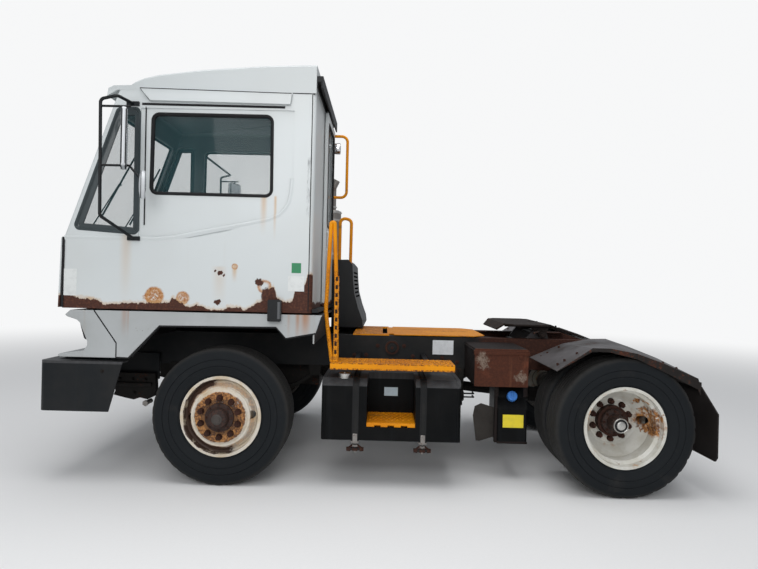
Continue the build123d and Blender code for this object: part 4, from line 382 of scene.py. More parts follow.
def wheel_finish(name, x, plane_y, rear):
    """Painted disc wheel: rusty hub and nuts, stains round the hand holes, a bright worn rim edge."""
    finish = Finish(name, rough=0.5)
    r = finish.ring_distance(x, AXLE_Z)
    out = abs(finish.y)
    broad = finish.noise(9, 5, 0.65)
    grain = finish.noise(70, 5, 0.7)
    if rear:
        paint = finish.blend(broad.rise(0.3, 0.7), (0.70, 0.69, 0.64), (0.56, 0.54, 0.47))
        stain = broad.rise(0.66, 0.74) * 0.7
        holes = finish.spot([(-222, AXLE_Z + 0.012, 0.055), (-240, AXLE_Z - 0.045, 0.030),
                             (-215, AXLE_Z + 0.10, 0.022), (-170, AXLE_Z + 0.165, 0.020),
                             (-252, AXLE_Z + 0.075, 0.022)], 0.5, 0.10)
        edge = r.within(0.262, 0.284, 0.006) * finish.noise(14, 4, 0.6).rise(0.55, 0.68)
        rust = (holes + edge * 0.8 + stain * 0.4).least(1.0)
        hub = r.rise(0.112, 0.104) * out.rise(plane_y - 0.045, plane_y - 0.03)
        nuts = out.rise(plane_y + 0.0128, plane_y + 0.0138) * r.rise(0.170, 0.165)
        worn = (hub + nuts).least(1.0)
        inside = r.rise(0.205, 0.19) * (1 - worn) * broad.rise(0.52, 0.66) * 0.5
        rust = (rust + inside).least(1.0)
    else:
        paint = finish.blend(broad.rise(0.35, 0.75), (0.66, 0.61, 0.53), (0.56, 0.45, 0.30))
        ragged = (broad - 0.5) * 0.05 + (grain - 0.5) * 0.02
        plate = (r + ragged).rise(0.190, 0.180)
        lower_left = (finish.x - x) * 0.8 - (finish.z - AXLE_Z) * 0.25
        crescent = (r + ragged).within(0.236, 0.272, 0.008) * (lower_left + ragged * 3.0).rise(-0.03, 0.03)
        rust = (plate * (grain * 0.5 + broad * 0.6).rise(0.36, 0.52) + plate * 0.35
                + (r + ragged).within(0.225, 0.245, 0.006) * 0.5 + broad.rise(0.62, 0.74) * 0.35).least(1.0)
        hub = (r + ragged * 0.4).rise(0.108, 0.100) * out.rise(plane_y - 0.02, plane_y - 0.01)
        nuts = out.rise(plane_y + 0.0015, plane_y + 0.003) * r.rise(0.170, 0.165)
        worn = (hub + nuts).least(1.0)
    scale = finish.blend(grain.rise(0.4, 0.7), (0.014, 0.006, 0.004), (0.062, 0.021, 0.011))
    pale_rust = (0.50, 0.22, 0.06) if rear else (0.48, 0.22, 0.065)
    rim_rust = finish.blend((grain * 0.6 + broad * 0.4).rise(0.42, 0.56), (0.085, 0.028, 0.012), pale_rust)
    finish.paint(rust, paint, rim_rust)
    if not rear:
        finish.layer((crescent * 2.4).least(0.95), (0.042, 0.014, 0.007))
        finish.layer((r + ragged * 0.5).within(0.112, 0.132, 0.008) * 0.6, (0.030, 0.012, 0.007))
    finish.layer(worn, scale)
    # Painted shade: the inboard parts of the rim, well behind its disc, are painted near black.
    dark = out.rise(plane_y - 0.13, plane_y - 0.19)
    finish.layer(dark * 0.93, (0.014, 0.011, 0.009))
    finish.rough((rust + worn).least(1.0) * 0.3 + 0.42)
    finish.bump((rust + worn).least(1.0) * grain + broad * 0.3, 0.001)


def tyre_rubber():
    finish = Finish("tyre_rubber", rough=0.78, Specular_IOR_Level=0.22)
    r = finish.ring_distance(FRONT_AXLE_X, AXLE_Z).least(finish.ring_distance(REAR_AXLE_X, AXLE_Z))
    broad = finish.noise(5, 4, 0.6)
    grain = finish.noise(160, 4, 0.7)
    dust = r.rise(0.47, 0.505) * 0.4 + broad.rise(0.55, 0.8) * 0.3
    finish.paint((dust * (grain * 0.5 + 0.75)).least(1.0), (0.007, 0.009, 0.011), (0.055, 0.050, 0.044))
    finish.rough(broad * 0.2 + 0.62)
    finish.bump(grain * 0.5, 0.0006)


def pane_glass():
    """Clear pane, a little green, with a haze of dust."""
    finish = Finish("pane_glass", rough=0.03, IOR=1.45)
    haze = finish.noise(3.0, 3, 0.5, stretch=(1, 1, 0.3))
    finish.paint(haze.rise(0.4, 0.7) * 0.4, (0.05, 0.13, 0.145), (0.10, 0.19, 0.20))
    finish.feed(finish.surface.inputs["Alpha"], haze * 0.08 + 0.12)
    finish.rough(haze.rise(0.5, 0.8) * 0.06 + 0.02)


def moulded(name, base, rough, grain_scale, fade, coat=0.0):
    """Moulded plastic or rubber with a fine grain, dust in patches and a little fading."""
    finish = Finish(name, rough=rough, Coat_Weight=coat, Specular_IOR_Level=0.28)
    grain = finish.noise(grain_scale, 3, 0.6)
    broad = finish.noise(4, 4, 0.55)
    pale = tuple(min(1.0, c * 1.5 + 0.006) for c in base)
    finish.paint(broad.rise(0.4, 0.75) * fade, base, pale)
    streak = finish.noise(20, 4, 0.6, stretch=(1, 1, 0.2)).rise(0.62, 0.8)
    finish.layer(streak * 0.3, tuple(c * 0.8 + 0.010 for c in base))
    finish.rough(broad * 0.2 + rough - 0.1)
    finish.bump(grain, 0.0004)


def bare_metal(name, base, rough, rust):
    finish = Finish(name, rough=rough, Metallic=1.0)
    grain = finish.noise(120, 4, 0.6)
    broad = finish.noise(11, 5, 0.65)
    patch = (broad * 0.6 + grain * 0.4).rise(0.66 - 0.2 * rust, 0.74 - 0.2 * rust)
    finish.paint(grain.rise(0.3, 0.7), tuple(c * 0.8 for c in base), base)
    finish.layer(patch, RUST_BROWN)
    finish.metal(1 - patch * 0.9)
    finish.rough(patch * 0.4 + grain * 0.15 + rough - 0.07)
    finish.bump(grain, 0.0002)


def seat_cloth():
    finish = Finish("seat_cloth", rough=0.85, Sheen_Weight=0.35)
    warp, weft = (finish.node("ShaderNodeTexWave", {"wave_type": "BANDS", "bands_direction": axis},
                              {"Vector": finish.at, "Scale": 90.0, "Distortion": 0.6, "Detail": 1.0})
                  for axis in "YX")
    broad = finish.noise(6, 3, 0.6)
    weave = warp * weft
    finish.paint(weave, (0.022, 0.023, 0.026), (0.06, 0.062, 0.068))
    finish.layer(broad.rise(0.45, 0.75) * 0.4, (0.10, 0.09, 0.075))
    finish.bump(weave, 0.0006)


def plain_plate(name, base):
    """Blank plate or sticker, a little faded and soiled at random."""
    finish = Finish(name, rough=0.4)
    broad = finish.noise(24, 4, 0.6)
    fine = finish.noise(160, 3, 0.6)
    finish.paint(broad.rise(0.4, 0.75) * 0.5, base, tuple(c * 0.72 + 0.02 for c in base))
    finish.layer(fine.rise(0.64, 0.74) * 0.4, (0.12, 0.09, 0.06))
    finish.bump(fine, 0.0002)


def lamp_glass(name, base):
    finish = Finish(name, rough=0.12, IOR=1.45, Coat_Weight=0.6)
    ribs = finish.node("ShaderNodeTexWave", {"wave_type": "BANDS", "bands_direction": "Y"},
                       {"Vector": finish.at, "Scale": 26.0})
    broad = finish.noise(12, 3, 0.6)
    finish.paint(broad.rise(0.35, 0.75) * 0.35, base, tuple(c * 0.6 for c in base))
    finish.bump(ribs, 0.0012)


FRONT_DISC_Y = FRONT_WHEEL_Y + 0.1375
cab_white()
panel_grey("panel_grey")
panel_grey("skirt_grey", True)
worn_black("frame_black", 0.3, 0.7, rusty_x=ahead(1150))
worn_black("bumper_black", 0.03, 0.4, (0.008, 0.010, 0.012), 0.45, band=(0.884, 0.905))
worn_black("tank_black", 0.04, 0.15, (0.002, 0.0025, 0.003), 0.42, band=(0.758, 0.81), shine=0.1)
worn_black("fender_black", 0.34, 0.9, (0.100, 0.093, 0.096), 0.42)
worn_black("lip_brown", 0.9, 0.6, (0.012, 0.009, 0.008))
worn_black("iron", 0.6, 0.6, (0.008, 0.007, 0.006), 0.7)
deck_yellow()
# The battery box's faces inboard of 0.94 m, its top among them, are painted near black: painted shade that
# also stands for the hoses lying on the top.
rusted("box_rust", (0.085, 0.024, 0.011), 0.05,
       [(992, 0.955, 0.040), (985, 0.905, 0.03), (700, 0.815, 0.036)],
       lambda finish: finish.y.rise(0.944, 0.938))
rusted("coupling_rust", (0.020, 0.013, 0.011), 0.3)
rusted("nut_rust", (0.050, 0.018, 0.011), 0.05)
rusted("grip_dark", (0.035, 0.014, 0.008), 0.0)
wheel_finish("rim_front", FRONT_AXLE_X, FRONT_DISC_Y, False)
wheel_finish("rim_rear", REAR_AXLE_X, REAR_PLANE_Y, True)
tyre_rubber()
pane_glass()
seat_cloth()
moulded("hub_grey", (0.045, 0.038, 0.034), 0.6, 90, 0.8)
moulded("border_grey", (0.042, 0.054, 0.058), 0.35, 200, 0.2, 0.3)
moulded("soft_rubber", (0.008, 0.008, 0.009), 0.7, 180, 0.6)
moulded("flap_rubber", (0.012, 0.009, 0.008), 0.8, 120, 0.9)
moulded("dark_plastic", (0.009, 0.010, 0.011), 0.5, 260, 0.4)
moulded("hood_plastic", (0.004, 0.005, 0.006), 0.42, 220, 0.5)
moulded("trim_grey", (0.10, 0.105, 0.11), 0.6, 200, 0.3)
moulded("cap_blue", (0.06, 0.22, 0.62), 0.4, 200, 0.3)
moulded("dust_grey", (0.030, 0.026, 0.023), 0.9, 60, 0.8)
moulded("mirror_shell", (0.62, 0.64, 0.66), 0.25, 300, 0.2, 0.4)
bare_metal("chrome", (0.75, 0.76, 0.78), 0.12, 0.05)
bare_metal("dull_steel", (0.34, 0.32, 0.30), 0.45, 0.6)
bare_metal("pale_metal", (0.62, 0.61, 0.58), 0.38, 0.15)
bare_metal("mirror_glass", (0.86, 0.88, 0.90), 0.06, 0.0)
lamp_glass("lamp_clear", (0.62, 0.65, 0.68))
lamp_glass("lamp_red", (0.42, 0.015, 0.012))
plain_plate("plate_white", (0.72, 0.74, 0.76))
plain_plate("plate_yellow", (0.82, 0.66, 0.02))
plain_plate("plate_blue", (0.52, 0.66, 0.74))
plain_plate("sticker_green", (0.015, 0.22, 0.085))
plain_plate("sticker_pale", (0.70, 0.72, 0.71))

node_finish = {
    "frame_black": "frame_rails crossmembers tank_straps side_tanks tail_lamps lift_barrels tilt_barrel "
                   "cab_floor",
    "bumper_black": "front_bumper door_track cab_brackets",
    "panel_grey": "front_fascia",
    "skirt_grey": "wheel_skirts",
    "dark_plastic": "grilles cab_lamps seat_base steering_wheel",
    "lamp_clear": "headlamps",
    "iron": "power_unit front_axle leaf_springs rear_axle drive_shaft knuckle_left knuckle_right tie_rod",
    "hood_plastic": "engine_hood",
    "dull_steel": "exhaust_stack",
    "deck_yellow": "deck_and_steps handrails boom_deck grab_handle",
    "tank_black": "fuel_tank fluid_tank",
    "box_rust": "battery_box",
    "fender_black": "rear_fenders boom",
    "flap_rubber": "mudflaps",
    "tyre_rubber": "front_tyre_left front_tyre_right rear_tyres_left rear_tyres_right",
    "rim_front": "front_rim_left front_rim_right",
    "rim_rear": "rear_rims_left rear_rims_right",
    "coupling_rust": "fifth_wheel coupling_ears",
    "chrome": "lift_rods tilt_rod",
    "cab_white": "cab_side_left cab_side_right cab_front cab_rear cab_roof rear_door",
    "pane_glass": "cab_glass door_glass",
    "seat_cloth": "seat_pads",
    "trim_grey": "dashboard",
}
for finish, names in node_finish.items():
    for name in names.split():
        nodes[name].data.materials.clear()
        nodes[name].data.materials.append(finishes[finish])

# Softened edges on the pressed and welded parts
edge_width = {
    0.0025: "deck_and_steps boom_deck",
    0.003: "battery_box cab_rear rear_door fifth_wheel boom mudflaps frame_rails",
    0.004: "front_bumper wheel_skirts cab_side_left cab_side_right cab_front seat_base",
    0.005: "front_fascia fluid_tank",
    0.006: "engine_hood fuel_tank cab_roof",
    0.008: "dashboard",
}
for width, names in edge_width.items():
    for name in names.split():
        weld = nodes[name].modifiers.new("weld", "WELD")
        weld.merge_threshold = 0.0002
        bevel = nodes[name].modifiers.new("bevel", "BEVEL")
        bevel.width = width
        bevel.segments = 2
        bevel.limit_method = "ANGLE"
        bevel.angle_limit = math.radians(38)
        bevel.harden_normals = True


# Making of pieces

def settle(name, mesh, finish, body, smooth=40):
    """Puts a mesh in the scene as one piece of a body."""
    obj = bpy.data.objects.new(name, mesh)
    bpy.context.scene.collection.objects.link(obj)
    obj.data.materials.append(finishes[finish])
    if smooth:
        for polygon in mesh.polygons:
            polygon.use_smooth = True
        mesh.set_sharp_from_angle(angle=math.radians(smooth))
    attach(obj, body)
    return obj


def mesh_of(name, build):
    """Mesh made by a function that fills a bmesh."""
    shape = bmesh.new()
    build(shape)
    bmesh.ops.recalc_face_normals(shape, faces=shape.faces)
    mesh = bpy.data.meshes.new(name)
    shape.to_mesh(mesh)
    shape.free()
    return mesh


def piece(build, finish, body, smooth=35, name=None):
    """One object of a body, filled by a function and named after it unless a name is given."""
    name = name or build.__name__
    return settle(name, mesh_of(name, build), finish, body, smooth)


def skin(shape, rings, around=True, along=False):
    """Faces between rings of points; around closes each ring, along joins the last ring to the first."""
    for first, second in zip(rings, rings[1:] + rings[:1] if along else rings[1:]):
        for index in range(len(first) if around else len(first) - 1):
            after = (index + 1) % len(first)
            shape.faces.new([first[index], first[after], second[after], second[index]])
    if around and not along:
        shape.faces.new(rings[0])
        shape.faces.new(reversed(rings[-1]))


def spin(shape, profile, x, y, z, steps, closed=False, axis="Y", out=1):
    """Turns a profile of (along the axis, radius) points about a line through (x, y, z)."""
    rings = []
    for step in range(steps):
        angle = 2 * math.pi * step / steps
        c, s = math.cos(angle), math.sin(angle)
        ring = []
        for point in profile:
            along, radius = point(step) if callable(point) else point
            if axis == "Y":
                place = (x + radius * c, y + out * along, z + radius * s)
            elif axis == "Z":
                place = (x + radius * c, y + radius * s, z + along)
            else:
                place = (x + along, y + radius * c, z + radius * s)
            ring.append(shape.verts.new(place))
        rings.append(ring)
    skin(shape, rings, closed, True)


def tyre_piece(name, x, y, body, node, ribbed):
    """Tyre with side wall rings, rounded shoulders, tread grooves and shoulder blocks."""
    half, bead, radius = 0.141, 0.1085, 0.507
    steps = 168
    side = [(bead + inset, r) for inset, r in (
        (0, 0.2885), (0, 0.303), (0.006, 0.312), (0.012, 0.318), (0.0135, 0.326))]
    side += [(half - inset, r) for inset, r in (
        (0.012, 0.345), (0.006, 0.362), (0.004, 0.366), (0.0042, 0.372), (0.0075, 0.3745), (0.0035, 0.378),
        (0.0022, 0.400), (0.0020, 0.420), (0.0058, 0.4225), (0.0020, 0.425), (0.0035, 0.446), (0.006, 0.466),
        (0.009, 0.478))]

    def notched(along, full, deep, plain):
        return lambda step: (along, full - (deep if step % every == 0 else plain))

    if ribbed:
        every, grooves = 4, (0.072, 0.027)
        shoulder = [(0.0105, 0.484, 0.002, 0), (0.016, radius, 0.014, 0.011), (0.024, radius, 0.006, 0.0035),
                    (0.036, radius, 0.002, 0.0005)]
        groove_shape = [(0.0062, 0), (0.0045, 0.011), (-0.0045, 0.011), (-0.0062, 0)]
    else:
        every, grooves = 6, (0.060, 0.022)
        shoulder = [(0.0105, 0.484, 0.004, 0), (0.016, radius, 0.017, 0.0115), (0.026, radius, 0.009, 0.003),
                    (0.040, radius, 0.0005, 0.0005)]
        groove_shape = [(0.005, 0), (0.004, 0.004), (-0.004, 0.004), (-0.005, 0)]
    tread = [notched(half - inset, *radii) for inset, *radii in shoulder]
    for groove in grooves:
        tread += [(groove + aside, radius - deep) for aside, deep in groove_shape]
    right = side + tread

    def mirrored(point):
        if callable(point):
            return lambda step: (-point(step)[0], point(step)[1])
        return (-point[0], point[1])

    profile = right + [mirrored(point) for point in reversed(right)]

    def build(shape):
        spin(shape, profile, x, y, AXLE_Z, steps, closed=True)

    tyre = settle(name, mesh_of(name, build), "tyre_rubber", body, 32)
    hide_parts(node)


tyre_piece("tread_front_left", FRONT_AXLE_X, FRONT_WHEEL_Y, "wheel_front_left", "front_tyre_left", True)
tyre_piece("tread_front_right", FRONT_AXLE_X, -FRONT_WHEEL_Y, "wheel_front_right", "front_tyre_right", True)
for side, sign in (("left", 1), ("right", -1)):
    for place, offset in (("outer", TWIN_HALF), ("inner", -TWIN_HALF)):
        tyre_piece(f"tread_rear_{side}_{place}", REAR_AXLE_X, sign * (REAR_PLANE_Y + offset),
                   f"wheels_rear_{side}", f"rear_tyres_{side}", False)


def drum(shape, start, run, radius, sides=24, taper=1.0, turn=0.0):
    """Round or many-sided bar from a start point along a run."""
    run = Vector(run)
    place = Matrix.Translation(Vector(start) + run / 2) @ run.to_track_quat("Z", "Y").to_matrix().to_4x4()
    bmesh.ops.create_cone(shape, cap_ends=True, segments=sides, radius1=radius, radius2=radius * taper,
                          depth=run.length, matrix=place @ Matrix.Rotation(turn, 4, "Z"))


def crate(shape, low, high, edge=0.002, segments=2):
    """Block between two corners with rounded edges."""
    size = [b - a for a, b in zip(low, high)]
    middle = [(a + b) / 2 for a, b in zip(low, high)]
    place = Matrix.Translation(middle) @ Matrix.Diagonal((*size, 1))
    made = bmesh.ops.create_cube(shape, size=1, matrix=place)
    edges = list({edge_of for vertex in made["verts"] for edge_of in vertex.link_edges})
    bmesh.ops.bevel(shape, geom=edges, offset=edge, segments=segments, profile=0.5, affect="EDGES",
                    clamp_overlap=True)


def bolt(shape, place, out, size=0.011):
    """Hexagon head on a washer, with the thread's end showing."""
    place, out = Vector(place), Vector(out)
    drum(shape, place - out * 0.001, out * (size * 0.22 + 0.001), size * 1.45, 20, 0.96)
    drum(shape, place + out * size * 0.2, out * size * 0.68, size, 6, 0.97, 0.3)
    drum(shape, place + out * size * 0.85, out * size * 0.3, size * 0.5, 12, 0.9)


def rounded(corners, radius, steps=5):
    """Closed flat outline with its corners rounded."""
    outline = []
    for index, corner in enumerate(corners):
        point = Vector(corner)
        back = (Vector(corners[index - 1]) - point).normalized()
        onward = (Vector(corners[(index + 1) % len(corners)]) - point).normalized()
        half = back.angle(onward) / 2
        centre = point + (back + onward).normalized() * radius / math.sin(half)
        first = point + back * radius / math.tan(half) - centre
        last = point + onward * radius / math.tan(half) - centre
        for step in range(steps + 1):
            outline.append(tuple(centre + first.lerp(last, step / steps).normalized() * radius))
    return outline


def rim(shape, path, section, place, closed=True):
    """Sweeps a section of (outward, deep) points along a flat path; place turns (a, b, deep) into a point."""
    rings = []
    count = len(path)
    for index, (a, b) in enumerate(path):
        before = path[index - 1] if closed or index else path[0]
        after = path[(index + 1) % count] if closed or index < count - 1 else path[-1]
        run = Vector((after[0] - before[0], after[1] - before[1])).normalized()
        rings.append([shape.verts.new(place(a + run.y * out, b - run.x * out, deep))
                      for out, deep in section])
    skin(shape, rings, along=closed)


def on_side(y, out=1):
    """Turns (a, b, deep) into a point on an upright face at y; it looks left, or right with out=-1."""
    return lambda a, b, deep: (a, y + out * deep, b)


def across(x, out=1):
    """The same for a face at x that looks ahead, or back with out=-1."""
    return lambda a, b, deep: (x + out * deep, a, b)


def slabs(shape, *rows):
    """Blocks given as (mm ahead, y, z) of both corners and the rounding of the edges."""
    for mm0, y0, z0, mm1, y1, z1, edge in rows:
        crate(shape, (ahead(mm0), y0, z0), (ahead(mm1), y1, z1), edge)


def fresh_points(shape, build):
    """Points that a function adds to a shape."""
    before = set(shape.verts)
    build()
    return [vertex for vertex in shape.verts if vertex not in before]


# Wheels: nuts, hub bolts and caps

NUT_CIRCLE = 0.1429
REAR_NUT_Y = REAR_PLANE_Y + 0.012
HUB_END_Y = REAR_PLANE_Y + 0.206


def wheel_nuts(shape, x, y, sign, tall):
    for index in range(10):
        angle = 2 * math.pi * (index + 0.5) / 10
        px, pz = x + NUT_CIRCLE * math.cos(angle), AXLE_Z + NUT_CIRCLE * math.sin(angle)
        drum(shape, (px, y, pz), (0, sign * 0.007, 0), 0.0245, 20, 0.93)
        drum(shape, (px, y, pz), (0, sign * tall, 0), 0.0218, 6, 0.94, angle)
        drum(shape, (px, y, pz), (0, sign * (tall + 0.007), 0), 0.011, 12, 0.9)


def hub_bolts(shape, x, y, sign, circle, size):
    for index in range(8):
        angle = 2 * math.pi * index / 8
        bolt(shape, (x + circle * math.cos(angle), y, AXLE_Z + circle * math.sin(angle)), (0, sign, 0), size)


for side, sign in (("left", 1), ("right", -1)):
    def front_nuts(shape):
        y = sign * FRONT_DISC_Y
        wheel_nuts(shape, FRONT_AXLE_X, y, sign, 0.033)
        hub_bolts(shape, FRONT_AXLE_X, y + sign * 0.015, sign, 0.092, 0.006)

    def rear_nuts(shape):
        wheel_nuts(shape, REAR_AXLE_X, sign * REAR_NUT_Y, sign, 0.031)
        hub_bolts(shape, REAR_AXLE_X, sign * (REAR_PLANE_Y + 0.097), sign, 0.079, 0.009)
        spin(shape, [(0.058, 0.1145), (0.062, 0.117), (0.067, 0.117), (0.070, 0.098)], REAR_AXLE_X,
             sign * REAR_PLANE_Y, AXLE_Z, 40, out=sign)

    def front_cap(shape):
        spin(shape, [(0.060, 0.0385), (0.073, 0.0385), (0.077, 0.034), (0.077, 0.026), (0.081, 0.023),
                     (0.081, 0.001)], FRONT_AXLE_X, sign * FRONT_DISC_Y, AXLE_Z, 36, out=sign)

    def on_hub_end(profile, steps, closed=False):
        return lambda shape: spin(shape, profile, REAR_AXLE_X, sign * HUB_END_Y, AXLE_Z, steps, closed,
                                  out=sign)

    axle_ring = on_hub_end([(-0.030, 0.0545), (0.004, 0.0545), (0.007, 0.051), (0.004, 0.047),
                            (-0.030, 0.047)], 40, closed=True)
    axle_face = on_hub_end([(0.001, 0.0475), (0.002, 0.030), (0.001, 0.001)], 32)
    axle_centre = on_hub_end([(0.0, 0.034), lambda step: (0.008, 0.032 if step % 2 else 0.030),
                              (0.010, 0.028), (0.010, 0.001)], 32)
    for name, finish, body, build, slot in (
        ("front_wheel_nuts", "nut_rust", "wheel_front", front_nuts, "cast_iron"),
        ("rear_wheel_nuts", "nut_rust", "wheels_rear", rear_nuts, "cast_iron"),
        ("front_hub_cap", "hub_grey", "wheel_front", front_cap, "steel"),
        ("axle_cap_ring", "pale_metal", "wheels_rear", axle_ring, "steel"),
        ("axle_cap_face", "soft_rubber", "wheels_rear", axle_face, "rubber"),
        ("axle_cap_centre", "pale_metal", "wheels_rear", axle_centre, "steel"),
    ):
        piece(build, finish, f"{body}_{side}", name=f"{name}_{side}")


# Windows: rubber round every pane

SIDE_WINDOW = [(2.596, 2.128), (3.481, 2.133), (3.476, 2.714), (2.602, 2.712)]
QUARTER_WINDOW = [(3.566, 1.836), (4.032, 1.866), (3.727, 2.744), (3.570, 2.748)]
DOOR_REAR_X = ahead(2253)


def from_axle(corners):
    return [(REAR_AXLE_X + a, b) for a, b in corners]


for side, skin_y, out in (("left", CAB_SIDE_Y, 1), ("right", RIGHT_SKIN_Y, -1)):
    def window_rubber(shape):
        rim(shape, rounded(from_axle(SIDE_WINDOW), 0.048, 7),
            [(-0.015, -0.022), (-0.014, -0.010), (-0.004, -0.002), (0.008, -0.004), (0.011, -0.010)],
            on_side(skin_y, out))

    def quarter_rubber(shape):
        rim(shape, rounded(from_axle(QUARTER_WINDOW), 0.030, 6),
            [(-0.044, -0.0235), (-0.042, -0.018), (-0.012, -0.012), (-0.002, 0.002), (0.009, 0.002),
             (0.011, -0.002)], on_side(skin_y, out))

    piece(window_rubber, "soft_rubber", "cab", name=f"side_window_rubber_{side}")
    piece(quarter_rubber, "border_grey", "cab", name=f"quarter_window_rubber_{side}")


def on_screen(y, z, proud):
    """Point on the leaning windscreen."""
    return (SCREEN_FOOT_X - (z - SCREEN_FOOT_Z) * SCREEN_LEAN + proud, y, z)


def screen_rubber(shape):
    corners = [(0.087, 1.867), (1.115, 1.867), (1.115, 2.727), (0.087, 2.727)]
    rim(shape, rounded(corners, 0.03, 6), [(-0.016, -0.022), (-0.012, -0.002), (0.004, 0.005), (0.014, 0.003),
                                           (0.016, -0.004)], on_screen)


def door_window_rubber(shape):
    corners = [(0.12, 1.985), (0.60, 1.985), (0.60, 2.84), (0.12, 2.84)]
    rim(shape, rounded(corners, 0.04, 6), [(-0.014, -0.012), (-0.010, 0.001), (0.002, 0.005), (0.012, 0.001)],
        across(DOOR_REAR_X, -1))


def wipers(shape):
    lean = 0.20
    for y in (0.36, 0.86):
        def at(aside, z, proud):
            return Vector(on_screen(y + aside, z, proud))
        foot, tip = at(0, 1.835, 0.030), at(-lean, 2.28, 0.034)
        drum(shape, at(0, 1.835, -0.01), (0.05, 0, 0.012), 0.017, 20, 0.8)
        drum(shape, foot, tip - foot, 0.006, 8, 0.7)
        low, high = at(-lean * 0.45, 1.99, 0.016), at(-lean * 1.30, 2.53, 0.016)
        drum(shape, low, high - low, 0.0075, 6)
        drum(shape, tip, at(-lean, 2.28, 0.012) - tip, 0.009, 8)


piece(screen_rubber, "soft_rubber", "cab")
piece(door_window_rubber, "soft_rubber", "sliding_door")
piece(wipers, "dark_plastic", "cab")


# Seams, painted shadow lines, plates and small fittings of the cab

def flat_plate(name, finish, body, low, high, edge):
    piece(lambda shape: crate(shape, low, high, edge, 1), finish, body, name=name)


# Thin blank plates and stickers on left-hand faces
for name, finish, body, mm, z, wide, tall, y in (
    ("green_sticker", "sticker_green", "cab", 2403, 1.611, 69, 0.073, CAB_SIDE_Y),
    ("lower_sticker", "sticker_pale", "cab", 2402, 1.497, 118, 0.110, CAB_SIDE_Y),
    ("front_sticker", "sticker_pale", "cab", 4050, 1.473, 94, 0.194, CAB_SIDE_Y),
    ("rail_plate", "plate_white", "chassis", 1244, 0.974, 179, 0.123, 0.4325),
    ("recess_plate", "plate_blue", "chassis", 1690, 0.655, 108, 0.068, 0.8),
    ("tank_plate", "plate_yellow", "chassis", 741, 0.469, 160, 0.100, 0.91),
):
    flat_plate(name, finish, body, (ahead(mm - wide / 2), y - 0.001, z - tall / 2),
               (ahead(mm + wide / 2), y + 0.0012, z + tall / 2), 0.0006)


def side_seams_and_shadow_lines(shape):
    thin = [(-0.004, -0.004), (-0.003, 0.0012), (0.003, 0.0012), (0.004, -0.004)]
    thick = [(-0.009, -0.004), (-0.008, 0.003), (0.008, 0.003), (0.009, -0.004)]
    gutter = [(-0.0035, 0.022), (-0.0025, 0.0275), (0.0025, 0.0275), (0.0035, 0.022)]
    for section, path in (
        (thin, [(2.312, 1.300), (2.312, 2.870)]),
        # The thick dark line under the gutter is its seam and painted shadow under the gutter.
        (thick, [(2.510, 2.774), (3.552, 2.780)]),
        # Painted shadow: a thin dark line along the top of the gutter and down its sloping front end.
        (gutter, [(2.462, 2.868), (3.560, 2.888), (3.488, 2.800)]),
        (thick, [(4.106, 1.290), (4.106, 1.800)]),
        (thin, [(2.295, 2.876), (2.456, 2.878)]),
        (thin, [(3.520, 1.900), (3.524, 2.760)]),
    ):
        rim(shape, from_axle(path), section, on_side(CAB_SIDE_Y), False)


BELT_CREASE = [(4.100, 1.803), (3.515, 1.806), (3.438, 1.803), (3.299, 1.819), (3.160, 1.848), (3.021, 1.879),
               (2.883, 1.905), (2.744, 1.933), (2.606, 1.964), (2.540, 1.996), (2.495, 2.042), (2.469, 2.092),
               (2.457, 2.162), (2.452, 2.260)]


def belt_crease(shape):
    """Soft pressed ridge along the side under the windows."""
    for y, out in ((CAB_SIDE_Y, 1), (RIGHT_SKIN_Y, -1)):
        rim(shape, from_axle(BELT_CREASE), [(-0.024, -0.002), (-0.009, 0.0022), (0.0, 0.0038),
                                            (0.005, 0.0032), (0.011, -0.002)], on_side(y, out), False)


def arch_lip(shape):
    arch = [(3.704, 0.934), (3.614, 0.932), (3.392, 1.170), (2.541, 1.179), (2.468, 1.100), (2.251, 1.142),
            (2.212, 1.262)]
    for sign in (1, -1):
        rim(shape, from_axle(arch), [(-0.004, -0.012), (-0.009, -0.006), (-0.009, 0.001), (0.003, 0.0015),
                                     (0.003, -0.012)], on_side(sign * SKIRT_Y, sign), False)


def nose_seam(shape):
    for sign in (1, -1):
        rim(shape, from_axle([(3.872, 1.272), (3.704, 1.037), (3.704, 0.928)]),
            [(-0.004, -0.006), (-0.004, 0.002), (0.005, 0.002), (0.005, -0.006)],
            on_side(sign * SKIRT_Y, sign), False)


piece(side_seams_and_shadow_lines, "soft_rubber", "cab")
piece(belt_crease, "cab_white", "cab")
piece(arch_lip, "soft_rubber", "chassis")
piece(nose_seam, "soft_rubber", "chassis")

MIRROR_X = ahead(3588)
ROUND_X = ahead(3450)
MIRROR_Y = 1.39
MIRROR_TOP = EAVES_Z - 0.105
ROUND_Z = MIRROR_TOP - 0.615


def mirror_parts(name, finish, build):
    """The same part of the tall and the round mirror on both sides, turned towards the driver."""
    def both(shape):
        for sign in (1, -1):
            y = sign * MIRROR_Y
            for x, is_round in ((MIRROR_X, False), (ROUND_X, True)):
                bmesh.ops.rotate(shape, verts=fresh_points(shape, lambda: build(shape, x, y, is_round)),
                                 cent=(x, y, 0), matrix=Matrix.Rotation(sign * math.radians(24), 3, "Z"))
    piece(both, finish, "cab", name=name)


def mirror_shell(shape, x, y, is_round):
    if is_round:
        spin(shape, [(-0.0155, 0.001), (-0.0155, 0.093), (-0.010, 0.0965), (0.008, 0.0965), (0.017, 0.086),
                     (0.024, 0.05), (0.026, 0.001)], x, y, ROUND_Z, 40, axis="X")
    else:
        crate(shape, (x - 0.0195, y - 0.0915, MIRROR_TOP - 0.5015),
              (x + 0.0195, y + 0.0915, MIRROR_TOP - 0.0985), 0.017, 4)


